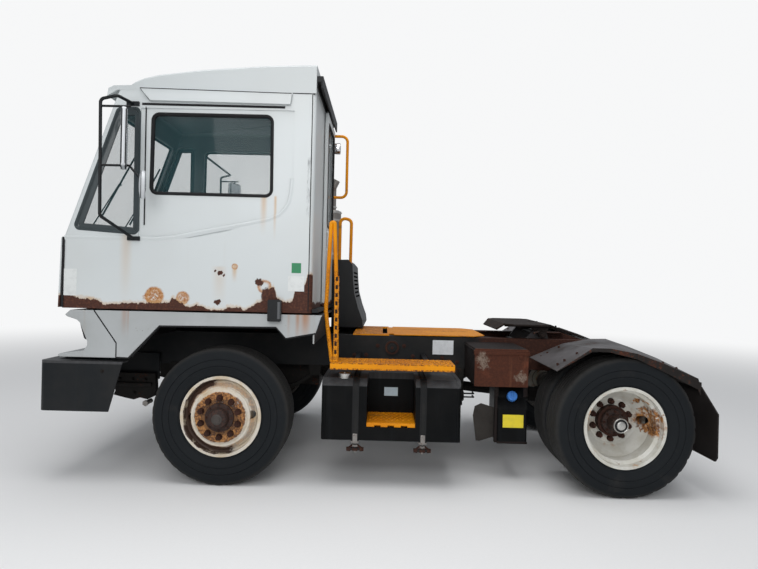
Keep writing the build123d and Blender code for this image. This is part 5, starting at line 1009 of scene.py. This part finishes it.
def mirror_face(shape, x, y, is_round):
    if is_round:
        spin(shape, [(-0.0158, 0.088), (-0.0175, 0.085), (-0.021, 0.04), (-0.022, 0.001)],
             x, y, ROUND_Z, 40, axis="X")
    else:
        crate(shape, (x - 0.0215, y - 0.080, MIRROR_TOP - 0.486),
              (x - 0.018, y + 0.080, MIRROR_TOP - 0.114), 0.0015)


mirror_parts("mirror_shells", "mirror_shell", mirror_shell)
mirror_parts("mirror_faces", "mirror_glass", mirror_face)

WORK_LAMP = (ahead(2285), 0.008, EAVES_Z - 0.105)


def work_lamp_ring(shape):
    spin(shape, [(-0.0725, 0.040), (-0.078, 0.044), (-0.079, 0.050), (-0.070, 0.0525), (-0.020, 0.0495),
                 (-0.014, 0.030)], *WORK_LAMP, 36, axis="X")


def work_lamp_lens(shape):
    spin(shape, [(-0.0725, 0.044), (-0.077, 0.036), (-0.081, 0.018), (-0.082, 0.001)],
         *WORK_LAMP, 36, axis="X")


piece(work_lamp_ring, "chrome", "cab")
piece(work_lamp_lens, "lamp_clear", "cab")
flat_plate("box_lamp_side", "trim_grey", "cab", (ahead(2503.5), 1.212, 1.236),
           (ahead(2531), 1.2432, 1.368), 0.006)


# Nose and bumper

def lamp_bezels(shape):
    low, high = 1.058, 1.166
    for middle, half in ((1.050, 0.088), (0.860, 0.066)):
        for sign in (1, -1):
            def place(a, b, deep):
                return (ahead(3963.5 + (b - low) * 291.7) + deep, sign * middle + a, b)
            rim(shape, rounded([(-half, low), (half, low), (half, high), (-half, high)], 0.012, 4),
                [(-0.010, 0.0005), (-0.008, 0.006), (0.006, 0.006), (0.010, -0.004), (0.010, -0.03)], place)


def bumper_bolts(shape):
    for sign in (1, -1):
        for z in (0.64, 0.72, 0.80):
            bolt(shape, (ahead(4260), sign * 0.446, z), (1, 0, 0), 0.013)
        bolt(shape, (ahead(3800), sign * 1.206, 0.83), (0, sign, 0), 0.010)


def tow_pins(shape):
    for y in (0.34, -0.34):
        spin(shape, [(0.0, 0.028), (0.006, 0.031), (0.010, 0.030), (0.012, 0.024), (0.012, 0.001)],
             ahead(4260), y, 0.70, 28, axis="X")
        drum(shape, (ahead(4268), y, 0.66), (0, 0, 0.08), 0.007, 10)


piece(lamp_bezels, "dark_plastic", "chassis")
piece(bumper_bolts, "iron", "chassis")
piece(tow_pins, "dull_steel", "chassis")


# Steps, tank and what hangs from the left rail

GRIP_FIELDS = [(1240, 2138, 0.890, 1.140, 0.925, 0.040), (1523, 1862, 0.820, 1.112, 0.490, 0.042)]


def grip_places():
    """Middles of the holes in the step treads, in rows with every second row shifted."""
    for mm0, mm1, y0, y1, top, pitch in GRIP_FIELDS:
        for row in range(int((y1 - y0) / pitch)):
            for column in range(int((ahead(mm1) - ahead(mm0)) / pitch)):
                x = ahead(mm0) + pitch * (column + (0.75 if row % 2 else 0.25))
                yield x, y0 + pitch * (row + 0.5), top


def grip_rings(shape):
    for place in grip_places():
        spin(shape, [(0.0, 0.0125), (0.0035, 0.0100), (0.0040, 0.0075), (0.0030, 0.0060), (-0.001, 0.0055)],
             *place, 10, axis="Z")


# Painted shade: dark discs stand for the holes of the treads, with the shade seen through them.
def grip_holes(shape):
    for x, y, top in grip_places():
        drum(shape, (x, y, top - 0.002), (0, 0, 0.0032), 0.0056, 8)


# Painted shade: dark plates stand for the slots of the post, with the shade seen through them.
def grip_post_slots(shape):
    for index in range(10):
        z = 0.985 + index * 0.060
        slabs(shape, (2104, 1.1235, z, 2122, 1.1262, z + 0.030, 0.002))
        crate(shape, (ahead(2096), 1.088, z + 0.02), (ahead(2099), 1.120, z + 0.044), 0.001, 1)


TANK_BACK = [(0.5, 0.360), (1.15, 0.360), (1.15, 0.7637), (1.088, 0.805), (0.5, 0.805)]


def tank_seams(shape):
    for mm in (1205, 2180):
        rim(shape, rounded(TANK_BACK, 0.012, 3),
            [(-0.001, -0.008), (0.003, -0.005), (0.003, 0.005), (-0.001, 0.008)], across(ahead(mm)))


STRAP_PLACES = (1953, 1456)


def strap_edges(shape):
    """Raised edges along both sides of each strap."""
    path = [(0.50, 0.353), (1.157, 0.353), (1.157, 0.769), (1.0895, 0.8125), (0.50, 0.8125)]
    for mm in STRAP_PLACES:
        for shift in (-0.0165, 0.0165):
            rim(shape, path, [(-0.003, -0.0035), (0.0022, -0.0035), (0.0022, 0.0035), (-0.003, 0.0035)],
                across(ahead(mm) + shift), False)


def strap_hangers(shape):
    for mm in STRAP_PLACES:
        x, y = ahead(mm), 1.110
        for sign in (1, -1):
            drum(shape, (x + sign * 0.036, y, 0.284), (sign * 0.028, 0, 0), 0.0175, 16, 0.85)
            drum(shape, (x + sign * 0.012, y, 0.318), (sign * 0.034, 0, -0.026), 0.0085, 8)
        drum(shape, (x - 0.02, y, 0.284), (0.04, 0, 0), 0.0155, 16)


def strap_bolts(shape):
    for mm in STRAP_PLACES:
        x, y = ahead(mm), 1.110
        crate(shape, (x - 0.030, y - 0.034, 0.343), (x + 0.030, y + 0.046, 0.355), 0.003)
        crate(shape, (x - 0.017, 1.153, 0.345), (x + 0.017, 1.1605, 0.410), 0.003)
        bolt(shape, (x, 1.1605, 0.392), (0, 1, 0), 0.009)
        for z in (0.328, 0.305):
            drum(shape, (x, y, z), (0, 0, 0.014), 0.022, 6, 0.97)
        drum(shape, (x, y, 0.262), (0, 0, 0.09), 0.0105, 12)


def filler_cap(shape):
    profile = [(-0.004, 0.050), (0.004, 0.050), (0.006, 0.046), (0.012, 0.046),
               lambda step: (0.016, 0.0475 if step % 2 else 0.0455),
               lambda step: (0.030, 0.0470 if step % 2 else 0.045),
               (0.034, 0.040), (0.032, 0.030), (0.033, 0.001)]
    spin(shape, profile, ahead(2043), 1.05, 0.805, 48, axis="Z")
    slabs(shape, (2037, 1.02, 0.836, 2049, 1.08, 0.844, 0.003))


def blue_cap(shape):
    def upright():
        profile = [(-0.030, 0.038), lambda step: (-0.026, 0.041 if step % 3 else 0.0385),
                   lambda step: (0.004, 0.040 if step % 3 else 0.0375), (0.010, 0.034), (0.011, 0.001)]
        spin(shape, profile, 0, 0, 0, 45, axis="Z")
        drum(shape, (-0.030, 0, 0.014), (0.060, 0, 0), 0.007, 8)

    turn = Vector((0, 0.054, 0.034)).to_track_quat("Z", "X").to_matrix().to_4x4()
    bmesh.ops.transform(shape, verts=fresh_points(shape, upright),
                        matrix=Matrix.Translation((ahead(743), 0.876, 0.660)) @ turn)


def box_fittings(shape):
    slabs(shape, (634, 0.440, 1.006, 1062, 0.957, 1.018, 0.003),
          (634, 0.945, 0.984, 1062, 0.957, 1.016, 0.003))
    for mm in (652, 876):
        slabs(shape, (mm - 16, 0.912, 0.660, mm + 16, 0.920, 0.746, 0.002))
        bolt(shape, (ahead(mm), 0.920, 0.690), (0, 1, 0), 0.0095)
    slabs(shape, *((mm - 14, 0.948, 0.955, mm + 14, 0.956, 0.990, 0.003) for mm in (700, 985)),
          (629, 0.900, 0.294, 865, 0.9125, 0.312, 0.003), (862, 0.868, 0.300, 884, 0.905, 0.742, 0.004))


def splash_plate(shape):
    outline = [(1.043, 0.493), (1.030, 0.566), (0.980, 0.590), (0.880, 0.560), (0.880, 0.330), (0.990, 0.293),
               (1.016, 0.296)]
    skin(shape, [[shape.verts.new((x, y, z)) for x, z in from_axle(outline)] for y in (0.845, 0.850)])
    bolt(shape, (ahead(900), 0.850, 0.44), (0, 1, 0), 0.008)
    bolt(shape, (ahead(1008), 0.850, 0.53), (0, 1, 0), 0.008)


# Along both rails, as (mm ahead of the rear axle, z)
RAIL_BOLTS = [
    (1808, 0.977), (1580, 0.979), (2009, 0.893), (1906, 0.896), (1503, 0.891), (1394, 0.884),
    (1250, 0.884), (1180, 0.850), (1120, 0.850), (2180, 0.990), (2180, 0.870), (560, 0.960),
    (520, 0.960), (-300, 0.860), (-360, 0.860),
]
RAIL_FACE_Y = 0.432
BOOM_PIN_X = ahead(1684)


def rail_bolts(shape):
    for sign in (1, -1):
        for mm, z in RAIL_BOLTS:
            bolt(shape, (ahead(mm), sign * RAIL_FACE_Y, z), (0, sign, 0), 0.0125)
        spin(shape, [(0.022, 0.060), (0.026, 0.056), (0.026, 0.046), (0.022, 0.042)],
             BOOM_PIN_X, sign * RAIL_FACE_Y, 0.964, 40, out=sign)
        drum(shape, (BOOM_PIN_X, sign * 0.468, 0.964), (0, sign * 0.010, 0), 0.014, 6, 0.95)


piece(grip_rings, "deck_yellow", "chassis", 30)
piece(grip_holes, "grip_dark", "chassis", 0)
piece(grip_post_slots, "grip_dark", "chassis")
piece(tank_seams, "tank_black", "chassis")
piece(strap_edges, "soft_rubber", "chassis")
piece(strap_hangers, "nut_rust", "chassis")
piece(strap_bolts, "dull_steel", "chassis")
piece(filler_cap, "pale_metal", "chassis")
piece(blue_cap, "cap_blue", "chassis")
piece(box_fittings, "box_rust", "chassis")
piece(splash_plate, "dust_grey", "chassis")
piece(rail_bolts, "nut_rust", "chassis")


# Fenders, flaps, tail lamps

def fender_bolts(shape):
    for sign in (1, -1):
        for mm, z in ((470, 0.948), (420, 0.978), (330, 1.030), (-300, 0.976), (-400, 0.938)):
            for y in (0.70, 1.12):
                drum(shape, (ahead(mm), sign * y, z - 0.012), (0.006, 0, 0.022), 0.011, 14, 0.7)


# Upper edge of the fender's lip and how far the lip hangs down there
LIP = [(0.506, 0.917, 0.006), (0.256, 1.084, 0.024), (0.129, 1.084, 0.028), (-0.063, 1.051, 0.040),
       (-0.256, 0.985, 0.060), (-0.500, 0.885, 0.080), (-0.519, 0.828, 0.066)]


def fender_lips(shape):
    """Turned-down outer edge of each fender, shallow at the front."""
    for sign in (1, -1):
        skin(shape, [[shape.verts.new((REAR_AXLE_X + a, sign * y, top - drop)) for y, drop in
                      ((1.2215, 0), (1.2235, 0.003), (1.2235, deep), (1.2195, deep), (1.2185, 0.006))]
                     for a, top, deep in LIP])


HANGER_SIDE = [(4060, 0.512), (4046, 0.545), (4058, 0.700), (3706, 0.700), (3700, 0.560), (3722, 0.500),
               (3768, 0.478), (3832, 0.492), (3885, 0.474), (3950, 0.486)]


def front_hangers(shape):
    """Spring hangers under the front of the rails, bolted on."""
    for sign in (1, -1):
        skin(shape, [[shape.verts.new((ahead(mm), sign * y, z)) for mm, z in HANGER_SIDE]
                     for y in (0.500, 0.440)])
        slabs(shape, (4040, sign * 0.500, 0.590, 3730, sign * 0.516, 0.622, 0.004))
        for mm, z in ((4010, 0.646), (3900, 0.646), (3790, 0.646), (3885, 0.530)):
            bolt(shape, (ahead(mm), sign * 0.500, z), (0, sign, 0), 0.014)


def hanger_pins(shape):
    for sign in (1, -1):
        drum(shape, (ahead(3770), sign * 0.425, 0.452), (0, sign * 0.105, 0), 0.020, 24, 0.9)
        drum(shape, (ahead(3770), sign * 0.530, 0.452), (0, sign * 0.010, 0), 0.028, 6, 0.9)


def brake_valve(shape):
    """Valve on a bracket under the left rail, with its ports and pipes."""
    slabs(shape, (1160, 0.436, 0.520, 1062, 0.448, 0.800, 0.003),
          (1140, 0.446, 0.545, 1072, 0.560, 0.625, 0.010))
    drum(shape, (ahead(1106), 0.505, 0.620), (0, 0, 0.055), 0.034, 24, 0.92)
    drum(shape, (ahead(1106), 0.505, 0.500), (0, 0, 0.050), 0.028, 24, 0.92)
    for z in (0.570, 0.600):
        drum(shape, (ahead(1106), 0.556, z), (0, 0.030, 0), 0.0095, 12)
        drum(shape, (ahead(1075), 0.520, z), (-0.090, 0, 0), 0.0065, 12)
        drum(shape, (ahead(986), 0.520, z), (0, -0.070, 0), 0.0065, 12)
    drum(shape, (ahead(1150), 0.520, 0.585), (0.040, 0, 0), 0.0065, 12)
    for z in (0.760, 0.785):
        bolt(shape, (ahead(1111), 0.448, z), (0, 1, 0), 0.008)


def flap_clamps(shape):
    for sign in (1, -1):
        y0, y1 = sorted((sign * 0.640, sign * 0.985))
        slabs(shape, (-643, y0, 0.788, -637, y1, 0.812, 0.002))
        for y in (0.68, 0.80, 0.93):
            bolt(shape, (ahead(-638), sign * y, 0.800), (1, 0, 0), 0.010)


def tail_rounds(shape, profile):
    for y in (0.33, 0.205, -0.205, -0.33):
        spin(shape, profile, ahead(-620), y, 0.8185, 32, axis="X")


def tail_lenses(shape):
    tail_rounds(shape, [(-0.0295, 0.036), (-0.031, 0.035), (-0.033, 0.028), (-0.034, 0.012), (-0.034, 0.001)])


def tail_rings(shape):
    tail_rounds(shape, [(-0.028, 0.0425), (-0.031, 0.0435), (-0.0335, 0.041), (-0.0335, 0.037),
                        (-0.028, 0.0355)])
    for y in (0.40, 0.0, -0.40):
        bolt(shape, (ahead(-630), y, 0.84), (-1, 0, 0), 0.009)


piece(fender_bolts, "nut_rust", "chassis")
piece(fender_lips, "lip_brown", "chassis")
piece(front_hangers, "iron", "chassis")
piece(brake_valve, "iron", "chassis")
piece(hanger_pins, "dull_steel", "chassis")
piece(flap_clamps, "nut_rust", "chassis")
piece(tail_lenses, "lamp_red", "chassis")
piece(tail_rings, "soft_rubber", "chassis")


# Boom, fifth wheel, hood and stack

COUPLING_X = ahead(380)


def coupling_fittings(shape):
    for sign in (1, -1):
        for mm, low in ((-150, 1.135), (-40, 1.140), (60, 1.148)):
            x = COUPLING_X + mm / 1000
            crate(shape, (x, sign * 0.30 - 0.008, low), (x + 0.014, sign * 0.30 + 0.008, 1.177), 0.003)
        bolt(shape, (COUPLING_X, sign * 0.400, 1.100), (0, sign, 0), 0.022)
    for start, run in (((0.02, 0.080, 1.142), (0.03, 0.19, 0.0)), ((0.05, 0.27, 1.142), (0.0, 0.19, -0.01)),
                       ((0.05, 0.46, 1.132), (0.05, 0.02, -0.012))):
        drum(shape, (COUPLING_X + start[0], *start[1:]), run, 0.0085, 12)
    spin(shape, [(0.0005, 0.0262), (0.002, 0.034), (0.0005, 0.040)], COUPLING_X, 0, 1.190, 32, axis="Z")


def boom_fittings(shape):
    for sign in (1, -1):
        for mm in (1400, 900, 520):
            spin(shape, [(0.0, 0.060), (0.004, 0.060), (0.006, 0.050), (0.006, 0.001)],
                 ahead(mm), sign * 0.300, 0.984, 24, out=sign)
        drum(shape, (BOOM_PIN_X, sign * 0.300, 1.010), (0, 0, 0.022), 0.006, 8)


def hood_fittings(shape):
    for mm in (2500, 3400):
        slabs(shape, (mm - 20, -1.1045, 1.330, mm + 20, -1.098, 1.440, 0.004),
              (mm - 12, -1.110, 1.345, mm + 12, -1.102, 1.395, 0.004))
    slabs(shape, (2900, -1.116, 1.480, 3080, -1.106, 1.500, 0.004),
          *((mm, -1.108, 1.480, mm + 12, -1.098, 1.500, 0.003) for mm in (2905, 3063)))
    for row in range(7):
        z = 1.36 + row * 0.034
        slabs(shape, (3520, -1.108, z, 3840, -1.097, z + 0.014, 0.004))


def stack_bands(shape):
    x, y = ahead(2298), -0.33
    for z, radius in ((1.80, 0.0855), (2.135, 0.0855), (2.215, 0.0855), (2.27, 0.0325)):
        spin(shape, [(-0.012, radius), (-0.010, radius + 0.003), (0.010, radius + 0.003), (0.012, radius)],
             x, y, z, 40, axis="Z")
        bolt(shape, (x - radius - 0.002, y, z), (-1, 0, 0), 0.006)


piece(coupling_fittings, "coupling_rust", "fifth_wheel")
piece(boom_fittings, "nut_rust", "boom")
piece(hood_fittings, "soft_rubber", "chassis")
piece(stack_bands, "pale_metal", "chassis")


# Cab inside

SEAT_X = ahead(2980)
SEAT_Y = 0.62
SEAT_TOP = 1.665
MOST_PUFF = 0.012
CLOTH_FRAMES = 20


def puffed(name, corners_low, corners_high):
    """Cushion blown up from a block whose upper face may lean from the lower one."""
    def build(shape):
        low = [shape.verts.new(corner) for corner in corners_low]
        high = [shape.verts.new(corner) for corner in corners_high]
        shape.faces.new(reversed(low))
        shape.faces.new(high)
        for index in range(4):
            after = (index + 1) % 4
            shape.faces.new([low[index], low[after], high[after], high[index]])
        bmesh.ops.bevel(shape, geom=list(shape.edges), offset=0.028, segments=3, profile=0.5, affect="EDGES")

    cushion = settle(name, mesh_of(name, build), "seat_cloth", "cab")
    remesh = cushion.modifiers.new("remesh", "REMESH")
    remesh.mode = "VOXEL"
    remesh.voxel_size = 0.009
    start = [vertex.co.copy() for vertex in apply_stack(cushion).vertices]
    cloth = cushion.modifiers.new("cloth", "CLOTH")
    cloth.settings.use_pressure = True
    cloth.settings.uniform_pressure_force = 4.0
    cloth.settings.effector_weights.gravity = 0.0
    cloth.point_cache.frame_start = 1
    cloth.point_cache.frame_end = CLOTH_FRAMES
    for number in range(1, CLOTH_FRAMES + 1):
        bpy.context.scene.frame_set(number)
    mesh = apply_stack(cushion)
    bpy.context.scene.frame_set(1)
    for vertex, before in zip(mesh.vertices, start):
        moved = vertex.co - before
        if moved.length > MOST_PUFF:
            vertex.co = before + moved * (MOST_PUFF / moved.length)
    return cushion


def apply_stack(obj):
    """Turns the modifiers of an object into its mesh."""
    shown = obj.evaluated_get(bpy.context.evaluated_depsgraph_get())
    mesh = bpy.data.meshes.new_from_object(shown)
    obj.modifiers.clear()
    obj.data = mesh
    return mesh


def stitched(cushion, face, lines):
    """Sewn channels fore and aft on a cushion: points near a line sink in where they look towards face."""
    depth, half = 0.006, 0.009
    for vertex in cushion.data.vertices:
        facing = vertex.normal.dot(Vector(face))
        for line in lines:
            away = abs(vertex.co.y - line)
            if facing > 0.4 and away < half:
                vertex.co -= vertex.normal * depth * (1 - away / half)
    for polygon in cushion.data.polygons:
        polygon.use_smooth = True
    smooth = cushion.modifiers.new("smooth", "SUBSURF")
    smooth.levels = smooth.render_levels = 1


def across_seat(half, *edges):
    """Corners of a face that spans the seat; edges are its rear and front, as (ahead of the seat, z)."""
    (rear, rear_z), (front, front_z) = edges
    return [(SEAT_X + rear, SEAT_Y - half, rear_z), (SEAT_X + front, SEAT_Y - half, front_z),
            (SEAT_X + front, SEAT_Y + half, front_z), (SEAT_X + rear, SEAT_Y + half, rear_z)]


def seat():
    low, high = SEAT_TOP + 0.010, SEAT_TOP + 0.098
    base = puffed("seat_cushion", across_seat(0.238, (-0.218, low), (0.248, low)),
                  across_seat(0.238, (-0.218, high), (0.248, high)))
    stitched(base, (0, 0, 1), (SEAT_Y - 0.14, SEAT_Y + 0.14))
    back = puffed("seat_back", across_seat(0.228, (-0.348, SEAT_TOP + 0.072), (-0.247, SEAT_TOP + 0.072)),
                  across_seat(0.228, (-0.436, SEAT_TOP + 0.708), (-0.360, SEAT_TOP + 0.715)))
    stitched(back, (1, 0, 0), (SEAT_Y - 0.13, SEAT_Y + 0.13))
    for cushion in (base, back):
        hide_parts("seat_pads")


seat()


def dash_dials(shape):
    for y, radius in ((0.50, 0.036), (0.60, 0.046), (0.71, 0.046), (0.80, 0.036)):
        spin(shape, [(0.012, radius), (-0.012, radius), (-0.016, radius - 0.006), (-0.010, radius - 0.010),
                     (-0.009, 0.001)], ahead(3610), y, 1.84, 32, axis="X")


def dash_switches(shape):
    for index in range(8):
        y = 0.14 + index * 0.036
        slabs(shape, (3594, y, 1.812, 3606, y + 0.024, 1.846, 0.003))


def pedals(shape):
    for y, tall in ((0.76, 0.10), (0.52, 0.075)):
        slabs(shape, (3730, y - 0.035, 1.375, 3742, y + 0.035, 1.375 + tall * 1.6, 0.004))
        drum(shape, (ahead(3742), y, 1.42), (0.05, 0, 0.05), 0.009, 10)


def wheel_centre(shape):
    """Boss of the steering wheel, its column and two stalks."""
    lean = math.radians(30)
    centre = Vector((ahead(3500), SEAT_Y, 2.090))
    out = Vector((-math.sin(lean), 0, math.cos(lean)))
    drum(shape, centre - out * 0.004, out * 0.014, 0.042, 32, 0.86)
    drum(shape, centre - out * 0.30, out * 0.11, 0.040, 24, 0.8)
    for side in (1, -1):
        drum(shape, centre - out * 0.11, Vector((0.02, side * 0.16, 0.02)), 0.007, 10)


piece(dash_dials, "dark_plastic", "cab")
piece(dash_switches, "soft_rubber", "cab")
piece(pedals, "soft_rubber", "cab")
piece(wheel_centre, "dark_plastic", "cab")


# Stage, light and camera

def floor_finish():
    finish = Finish("studio_floor", rough=0.9)
    grain = finish.noise(60, 3, 0.6)
    finish.paint(grain, (0.80, 0.80, 0.80), (0.84, 0.84, 0.84))
    rays = finish.node("ShaderNodeLightPath", output="Is Camera Ray")
    far = (finish.x * finish.x + finish.y * finish.y).root().rise(4.0, 16.0)
    glow = finish.node("ShaderNodeEmission", {}, {"Color": (0.93, 0.935, 0.94, 1), "Strength": 1.0})
    surface = Signal(finish, finish.surface.outputs[0])
    mixed = finish.node("ShaderNodeMixShader", {}, {0: far * rays, 1: surface, 2: glow})
    output = next(node for node in finish.tree.nodes if node.type == "OUTPUT_MATERIAL")
    finish.tree.links.new(mixed.socket, output.inputs["Surface"])


def stage_floor():
    mesh = mesh_of("studio_floor", lambda shape: bmesh.ops.create_circle(shape, cap_ends=True, segments=96,
                                                                         radius=70))
    floor = bpy.data.objects.new("studio_floor", mesh)
    bpy.context.scene.collection.objects.link(floor)
    floor_finish()
    mesh.materials.append(finishes["studio_floor"])


def soft_lamp(name, place, aim, size, power):
    data = bpy.data.lights.new(name, "AREA")
    data.shape = "DISK"
    data.size = size
    data.energy = power
    lamp = bpy.data.objects.new(name, data)
    bpy.context.scene.collection.objects.link(lamp)
    lamp.location = place
    lamp.rotation_mode = "QUATERNION"
    lamp.rotation_quaternion = (Vector(aim) - Vector(place)).to_track_quat("-Z", "Y")


def studio():
    scene = bpy.context.scene
    scene.view_settings.view_transform = "Standard"
    world = bpy.data.worlds.new("studio_air")
    scene.world = world
    world.use_nodes = True
    tree = world.node_tree
    air = tree.nodes["Background"]
    air.inputs["Color"].default_value = (0.93, 0.96, 1.0, 1)
    air.inputs["Strength"].default_value = 0.42
    seen = tree.nodes.new("ShaderNodeBackground")
    seen.inputs["Color"].default_value = (0.93, 0.935, 0.94, 1)
    rays = tree.nodes.new("ShaderNodeLightPath")
    shown = tree.nodes.new("ShaderNodeMath")
    shown.operation = "MAXIMUM"
    tree.links.new(rays.outputs["Is Camera Ray"], shown.inputs[0])
    tree.links.new(rays.outputs["Is Transmission Ray"], shown.inputs[1])
    mix = tree.nodes.new("ShaderNodeMixShader")
    tree.links.new(shown.outputs[0], mix.inputs[0])
    tree.links.new(air.outputs[0], mix.inputs[1])
    tree.links.new(seen.outputs[0], mix.inputs[2])
    tree.links.new(mix.outputs[0], tree.nodes["World Output"].inputs["Surface"])
    soft_lamp("sky_lamp", (0.5, 2.0, 8.0), (0, 0, 1.0), 7.0, 330)
    soft_lamp("side_lamp", (1.0, 8.5, 4.5), (0, 1.0, 1.2), 5.0, 235)


def photo_camera():
    data = bpy.data.cameras.new("camera")
    data.lens = 25.918
    data.sensor_width = 36
    data.clip_end = 300
    camera = bpy.data.objects.new("camera", data)
    bpy.context.scene.collection.objects.link(camera)
    right = Vector((-0.99969135, -0.01012409, 0.02268733))
    up = Vector((0.0226879, 0.0000552, 0.9997426))
    back = Vector((-0.0101227, 0.9999487, 0.0001745))
    turn = Matrix((right, up, back)).transposed().to_4x4()
    camera.matrix_world = Matrix.Translation((-0.0414, 5.151, 1.5064)) @ turn
    bpy.context.scene.camera = camera


stage_floor()
studio()
photo_camera()
